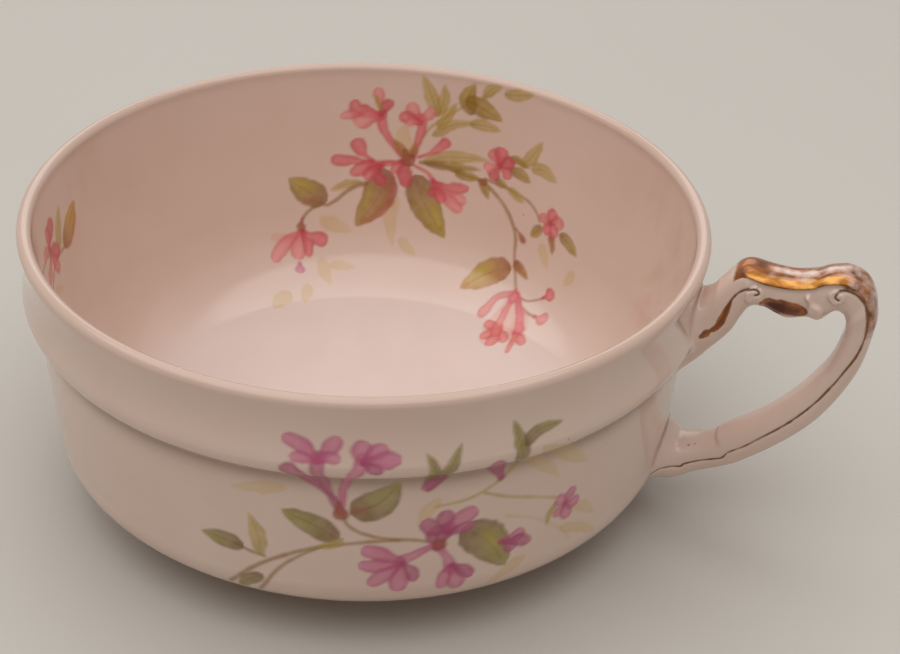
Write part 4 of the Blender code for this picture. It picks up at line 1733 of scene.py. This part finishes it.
    def side_spots(self, places: np.ndarray) -> np.ndarray:
        """Return places as seen from the side: out past the rim and up from the rim."""
        return places[:, [0, 2]] - np.array([self.bowl.rim_radius, self.bowl.rim_height])

    def outline(self) -> tuple[np.ndarray, np.ndarray]:
        """Draw the handle's rounded section.

        Returns:
            Even points round it, as shares upward and sideways.
        """
        angle = np.linspace(0.0, 2 * math.pi, self.FINER * self.ring)
        power = 2 / self.squareness
        up, side = (np.copysign(np.abs(wave) ** power, wave) for wave in (np.cos(angle), np.sin(angle)))
        lengths = np.hypot(self.UP_WEIGHT * np.diff(up), np.diff(side))
        travelled = np.concatenate([[0.0], np.cumsum(lengths)])
        even = np.linspace(0.0, travelled[-1], self.ring, endpoint=False)
        return np.interp(even, travelled, up), np.interp(even, travelled, side)

    def skin(self) -> tuple[np.ndarray, np.ndarray]:
        """Work out the handle's carved surface about the bowl's axis.

        Returns:
            The points, row by row, and the amounts of gilding at each of them.
        """
        outer, hole, place = self.edges()
        middle, half = (outer + hole) / 2, (outer - hole) / 2
        up, side = self.outline()
        flat = middle[:, None] + half[:, None] * up[None, :, None]
        depth = self.half_width(middle, place)[:, None] * side[None, :]
        places = np.stack([flat[..., 0], depth, flat[..., 1]], axis=2).reshape(-1, 3)
        spots = self.side_spots(places)

        from_top = ((1.0 - up)[None, :] * np.hypot(*half.T)[:, None]).ravel()
        on_thumb = ease(self.thumb_first, self.thumb_first + self.SINK, place)
        on_thumb = on_thumb * ease(self.thumb_last, self.thumb_last - self.SINK, place)
        on_thumb = np.repeat(on_thumb, self.ring)
        on_bracket = ease(self.slab - self.SLAB_BLUR, self.slab + self.SLAB_BLUR, from_top)
        relief = -self.bracket_sink * on_thumb * on_bracket
        for carving in self.carvings:
            relief += carving.height * carving.stroke.cover(spots)
        facing = np.tile(side, self.rows)
        relief *= ease(*self.CARVED, np.abs(facing))
        places[:, 1] += np.sign(facing) * relief
        gold = self.gilding(spots, from_top, np.abs(facing), np.abs(places[:, 1]))
        return self.spread(places, np.repeat(middle, self.ring, axis=0)), gold

    def gilding(self, spots: np.ndarray, from_top: np.ndarray, facing: np.ndarray,
                breadth: np.ndarray) -> np.ndarray:
        """Work out what is left of the gilding.

        Args:
            spots: The handle's points, seen from the side.
            from_top: How far each lies below the handle's top.
            facing: How squarely each faces sideways, from 0 to 1.
            breadth: How far each lies from the handle's middle, across.

        Returns:
            The amounts of bright gold, worn gold, painted line, and stain with painted shade at each point.
        """
        on_side = ease(*self.PAINTED, facing)
        line, worn, stain_and_shade_amount = (
            np.max([stroke.cover(spots) for stroke in strokes], axis=0) * on_side
            for strokes in (self.lines, self.worn_marks, self.stains_and_shade))
        out, up = spots.T
        on_slab = ease(self.slab + self.SLAB_BLUR, self.slab - self.SLAB_FULL, from_top)
        on_slab = on_slab * ease(*self.SLAB_UP, up)
        strip = ease(*self.STRIP_START, out) * ease(*self.STRIP_END, out) * on_slab
        bright = strip * ease(*self.BRIGHT_ACROSS, breadth)
        tail = self.TAIL_SHARE * ease(*self.KNOB_END[::-1], out) * ease(*self.KNOB_TAIL, out)
        knob = ease(*self.KNOB_START, out) * (ease(*self.KNOB_END, out) + tail)
        end = ease(*self.END_START, out) * ease(*self.END_DOWN, from_top) * ease(*self.END_UP, up)
        top = self.STRIP_SHARE * strip * ease(*self.STRIP_ACROSS, breadth)
        worn = np.maximum.reduce([worn, knob * on_slab, top, self.END_SHARE * end])
        return np.column_stack([bright, worn, line, self.STAIN_AND_SHADE_SHARE * stain_and_shade_amount])

    def spread(self, places: np.ndarray, middle: np.ndarray) -> np.ndarray:
        """Spread the roots into fillets where they meet the bowl.

        Args:
            places: The handle's points.
            middle: The middle of each point's row, seen from the side.

        Returns:
            The spread points.
        """
        gap = np.hypot(places[:, 0], places[:, 1]) - self.bowl.wall_radius(places[:, 2])
        away = places - np.column_stack([middle[:, 0], np.zeros(len(middle)), middle[:, 1]])
        away /= np.maximum(np.linalg.norm(away, axis=1), 1e-6)[:, None]
        for columns, radius in (([0, 2], self.fillet), ([1], self.side_fillet)):
            left = radius - np.clip(gap, 0.0, radius)
            away[:, columns] *= (radius - np.sqrt(radius**2 - left**2))[:, None]
        spread = places + away
        # A moved point keeps its distance from the wall, so that the fillet runs out on it
        reach = np.hypot(spread[:, 0], spread[:, 1])
        wanted = self.bowl.wall_radius(spread[:, 2]) + gap
        moved = gap < self.side_fillet
        spread[moved, :2] *= (wanted / reach)[moved, None]
        return spread

    def trim(self, piece: bpy.types.Object) -> None:
        """Cut the roots off inside the bowl's wall.

        Args:
            piece: The handle.
        """
        low, high = self.CORE_HEIGHTS
        heights = np.linspace(low, high, self.CORE_ROWS)
        radius = self.bowl.wall_radius(heights) - self.sunk
        section = np.vstack([[0.0, high], np.column_stack([radius, heights])[::-1], [0.0, low]])
        core = turn("core", section, self.bowl.axis_x, self.CORE_STEPS)
        cut = piece.modifiers.new("trim", "BOOLEAN")
        cut.operation = "DIFFERENCE"
        cut.solver = "EXACT"
        cut.object = core
        bpy.ops.object.select_all(action="DESELECT")
        bpy.context.view_layer.objects.active = piece
        bpy.ops.object.modifier_apply(modifier=cut.name)
        bpy.data.objects.remove(core)

    def melt(self, mesh: bpy.types.Mesh) -> None:
        """Turn the handle's normals to the wall's along the roots, where the glaze runs over the joint.

        Args:
            mesh: The handle's mesh.
        """
        places = positions(mesh) - np.array([self.bowl.axis_x, 0.0, 0.0])
        radius, height = np.hypot(places[:, 0], places[:, 1]), places[:, 2]
        near = ease(self.MELTED * self.fillet, 0.0, radius - self.bowl.wall_radius(height))[:, None]
        own = np.empty(len(mesh.vertices) * 3)
        mesh.vertex_normals.foreach_get("vector", own)
        above, below = (self.bowl.wall_radius(height + step) for step in (self.SLOPE_STEP, -self.SLOPE_STEP))
        slope = (above - below) / (2 * self.SLOPE_STEP)
        wall = np.column_stack([places[:, 0] / radius, places[:, 1] / radius, -slope])
        wall /= np.linalg.norm(wall, axis=1)[:, None]
        blended = own.reshape(-1, 3) * (1.0 - near) + wall * near
        mesh.normals_split_custom_set_from_vertices(blended / np.linalg.norm(blended, axis=1)[:, None])

    def build(self) -> bpy.types.Object:
        """Roll a grid into the handle, carve it, set it on the bowl and dress it.

        Returns:
            The finished handle.
        """
        places, gold = self.skin()
        bpy.ops.object.select_all(action="DESELECT")
        bpy.ops.mesh.primitive_grid_add(x_subdivisions=self.ring, y_subdivisions=self.rows - 1, size=1.0)
        piece = bpy.context.object
        piece.name = "scroll_handle"
        mesh = piece.data
        mesh.name = piece.name
        # The grid's last column meets its first
        round_about = np.append(np.arange(self.ring), 0)
        points = (np.arange(self.rows)[:, None] * self.ring + round_about[None, :]).ravel()
        move_to(mesh, places[points] + np.array([self.bowl.axis_x, 0.0, 0.0]))
        paint(mesh, "gilding", gold[points])
        with editing(piece):
            bpy.ops.mesh.select_all(action="SELECT")
            bpy.ops.mesh.remove_doubles(threshold=self.weld * MM)
            bpy.ops.mesh.select_all(action="DESELECT")
            bpy.ops.mesh.select_non_manifold()
            bpy.ops.mesh.fill_holes(sides=0)
            bpy.ops.mesh.select_all(action="SELECT")
            bpy.ops.mesh.normals_make_consistent(inside=False)
            bpy.ops.mesh.faces_shade_smooth()
        self.trim(piece)
        self.melt(mesh)
        finish = GlazedPorcelain("gilded and glazed porcelain", gilding_layer="gilding")
        mesh.materials.append(finish.make())
        return piece


@dataclass(frozen=True)
class Lamp:
    """A flat lamp that points at the cup.

    Attributes:
        name: Its name.
        place: Where it hangs, in metres.
        size: Its width and height, in metres.
        radiance: How bright its face is, where 1 is the white of the render.
        hot: How much brighter its middle is, as it fades to nothing at its edge.
    """

    name: str
    place: tuple[float, float, float]
    size: tuple[float, float]
    radiance: float
    hot: float = 1.43

    # What it points at, in metres
    AIM = Vector((-0.012, 0.0, 0.02))
    # The middle of its face, and how far from it the face is dark and is full, as shares of its size
    MIDDLE = (0.5, 0.5, 0.0)
    DARK_AT, FULL_AT = 0.5, 0.34

    def build(self) -> None:
        """Hang the lamp."""
        light = bpy.data.lights.new(self.name, "AREA")
        light.shape = "RECTANGLE"
        light.size, light.size_y = self.size
        light.energy = self.radiance * math.pi * self.size[0] * self.size[1]
        light.use_nodes = True
        tree = light.node_tree
        spot = add_node(tree, "ShaderNodeNewGeometry").outputs["Parametric"]
        from_middle = add_node(tree, "ShaderNodeVectorMath", {0: spot, 1: self.MIDDLE}, operation="DISTANCE")
        fade = add_node(tree, "ShaderNodeMapRange", {
            "Value": from_middle.outputs["Value"], "From Min": self.DARK_AT, "From Max": self.FULL_AT,
            "To Max": self.hot}, interpolation_type="SMOOTHSTEP")
        tree.links.new(fade.outputs["Result"], tree.nodes["Emission"].inputs["Strength"])
        lamp = bpy.data.objects.new(self.name, light)
        lamp.location = self.place
        lamp.rotation_euler = (self.AIM - lamp.location).to_track_quat("-Z", "Y").to_euler()
        lamp.visible_camera = False
        bpy.context.scene.collection.objects.link(lamp)


@dataclass
class Studio:
    """The pale floor, the soft lamps and the camera at the photograph's angle.

    Attributes:
        rim_centre: The middle of the cup's rim, in metres.
        lens: The camera's focal length.
        sensor: The width of its sensor.
        distance: How far it is from the rim's middle, in metres.
        elevation: How far it looks down on the cup, in radians.
        azimuth: How far it stands round from the front, in radians.
        yaw: How far it is turned off the rim's middle, in radians.
        pitch: How far it is tipped off the rim's middle, in radians.
        roll: How far it leans, in radians.
        clip_start: How near it sees, in metres.
        floor_size: The floor's width, in metres.
        ambient: Colour of the soft light all round.
        ambient_strength: How strong that light is on the cup.
        shown_strength: How bright the room looks to the camera and in reflections.
        lamps: The soft lamps.
    """

    rim_centre: Vector
    lens: float = 76.0
    sensor: float = 36.0
    distance: float = 0.2768
    elevation: float = math.radians(29.05)
    azimuth: float = math.radians(17.0)
    yaw: float = math.radians(-2.56)
    pitch: float = math.radians(-3.61)
    roll: float = math.radians(-1.03)
    clip_start: float = 0.01
    floor_size: float = 6.0
    ambient: str = "#ebe6e0"
    ambient_strength: float = 0.33
    shown_strength: float = 0.66
    lamps: tuple[Lamp, ...] = (
        Lamp("overhead softbox", (-0.10, -0.10, 1.00), (2.2, 2.0), 1.09),
        Lamp("back panel", (-0.80, 2.60, 1.55), (3.2, 1.3), 0.9),
    )

    def build_camera(self) -> None:
        """Set the camera where the photograph was taken from."""
        turned = Matrix.Rotation(self.azimuth, 3, "Z")
        away = turned @ Vector((0.0, -math.cos(self.elevation), math.sin(self.elevation)))
        aim = turned @ Matrix.Rotation(math.pi / 2 - self.elevation, 3, "X")
        aim = aim @ Matrix.Rotation(self.yaw, 3, "Y") @ Matrix.Rotation(self.pitch, 3, "X")
        aim = aim @ Matrix.Rotation(-self.roll, 3, "Z")
        data = bpy.data.cameras.new("camera")
        data.lens = self.lens
        data.sensor_width = self.sensor
        data.clip_start = self.clip_start
        camera = bpy.data.objects.new("camera", data)
        camera.matrix_world = Matrix.Translation(self.rim_centre + away * self.distance) @ aim.to_4x4()
        bpy.context.scene.collection.objects.link(camera)
        bpy.context.scene.camera = camera

    def build_floor(self) -> None:
        """Lay the floor."""
        bpy.ops.object.select_all(action="DESELECT")
        bpy.ops.mesh.primitive_plane_add(size=self.floor_size)
        floor = bpy.context.object
        floor.name = "floor"
        floor.data.materials.append(StudioPaper().make())

    def build_light(self) -> None:
        """Hang the lamps and set the soft light all round."""
        for lamp in self.lamps:
            lamp.build()
        world = bpy.data.worlds.new("soft room")
        world.use_nodes = True
        tree = world.node_tree
        background = tree.nodes["Background"]
        background.inputs["Color"].default_value = linear(self.ambient)
        # The room past the floor looks as pale as the floor, also in reflections
        rays = add_node(tree, "ShaderNodeLightPath")
        seen = rays.outputs["Is Camera Ray"]
        for kind in ("Is Glossy Ray", "Is Transmission Ray"):
            either = add_node(tree, "ShaderNodeMath", {0: seen, 1: rays.outputs[kind]}, operation="MAXIMUM")
            seen = either.outputs[0]
        strength = add_node(tree, "ShaderNodeMapRange", {
            "Value": seen, "To Min": self.ambient_strength, "To Max": self.shown_strength})
        tree.links.new(strength.outputs["Result"], background.inputs["Strength"])
        bpy.context.scene.world = world
        bpy.context.scene.view_settings.view_transform = "Standard"

    def build(self) -> None:
        """Build the whole studio."""
        self.build_camera()
        self.build_floor()
        self.build_light()


def place_piece(piece: bpy.types.Object, slot: str, *nodes: str) -> None:
    """Seat a finished piece on the frame and report it.

    Args:
        piece: The piece.
        slot: The record's material slot for its finish; not used.
        nodes: The solids that it stands for.
    """
    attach(piece, "root")
    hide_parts(*nodes)
    triangles = sum(len(face.vertices) - 2 for face in piece.data.polygons)
    LOG.info("%s: %d triangles, stands for %s", piece.name, triangles, ", ".join(nodes))


def main() -> None:
    """Build the cup's pieces in order, then the studio."""
    logging.basicConfig(level=logging.INFO, format="%(name)s: %(message)s")
    low, high = (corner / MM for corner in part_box("cup_body"))
    axis_x = (low.x + high.x) / 2
    bowl = Bowl(axis_x=axis_x, rim_radius=(high.x - low.x) / 2, rim_height=high.z)
    place_piece(bowl.build(), "bowl_glaze", "cup_body", "foot_slip_joint")

    foot_low, foot_high = (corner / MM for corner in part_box("foot_ring"))
    foot = FootRing(axis_x=axis_x, radius=(foot_high.x - foot_low.x) / 2)
    place_piece(foot.build(), "foot_clay", "foot_ring")

    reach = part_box("handle")[1].x / MM - axis_x - bowl.rim_radius
    handle = Handle(bowl=bowl, reach=reach)
    place_piece(handle.build(), "handle_glaze", "handle", "upper_slip_joint", "lower_slip_joint")

    Studio(rim_centre=Vector((axis_x, 0.0, bowl.rim_height)) * MM).build()


if __name__ == "__main__":
    main()
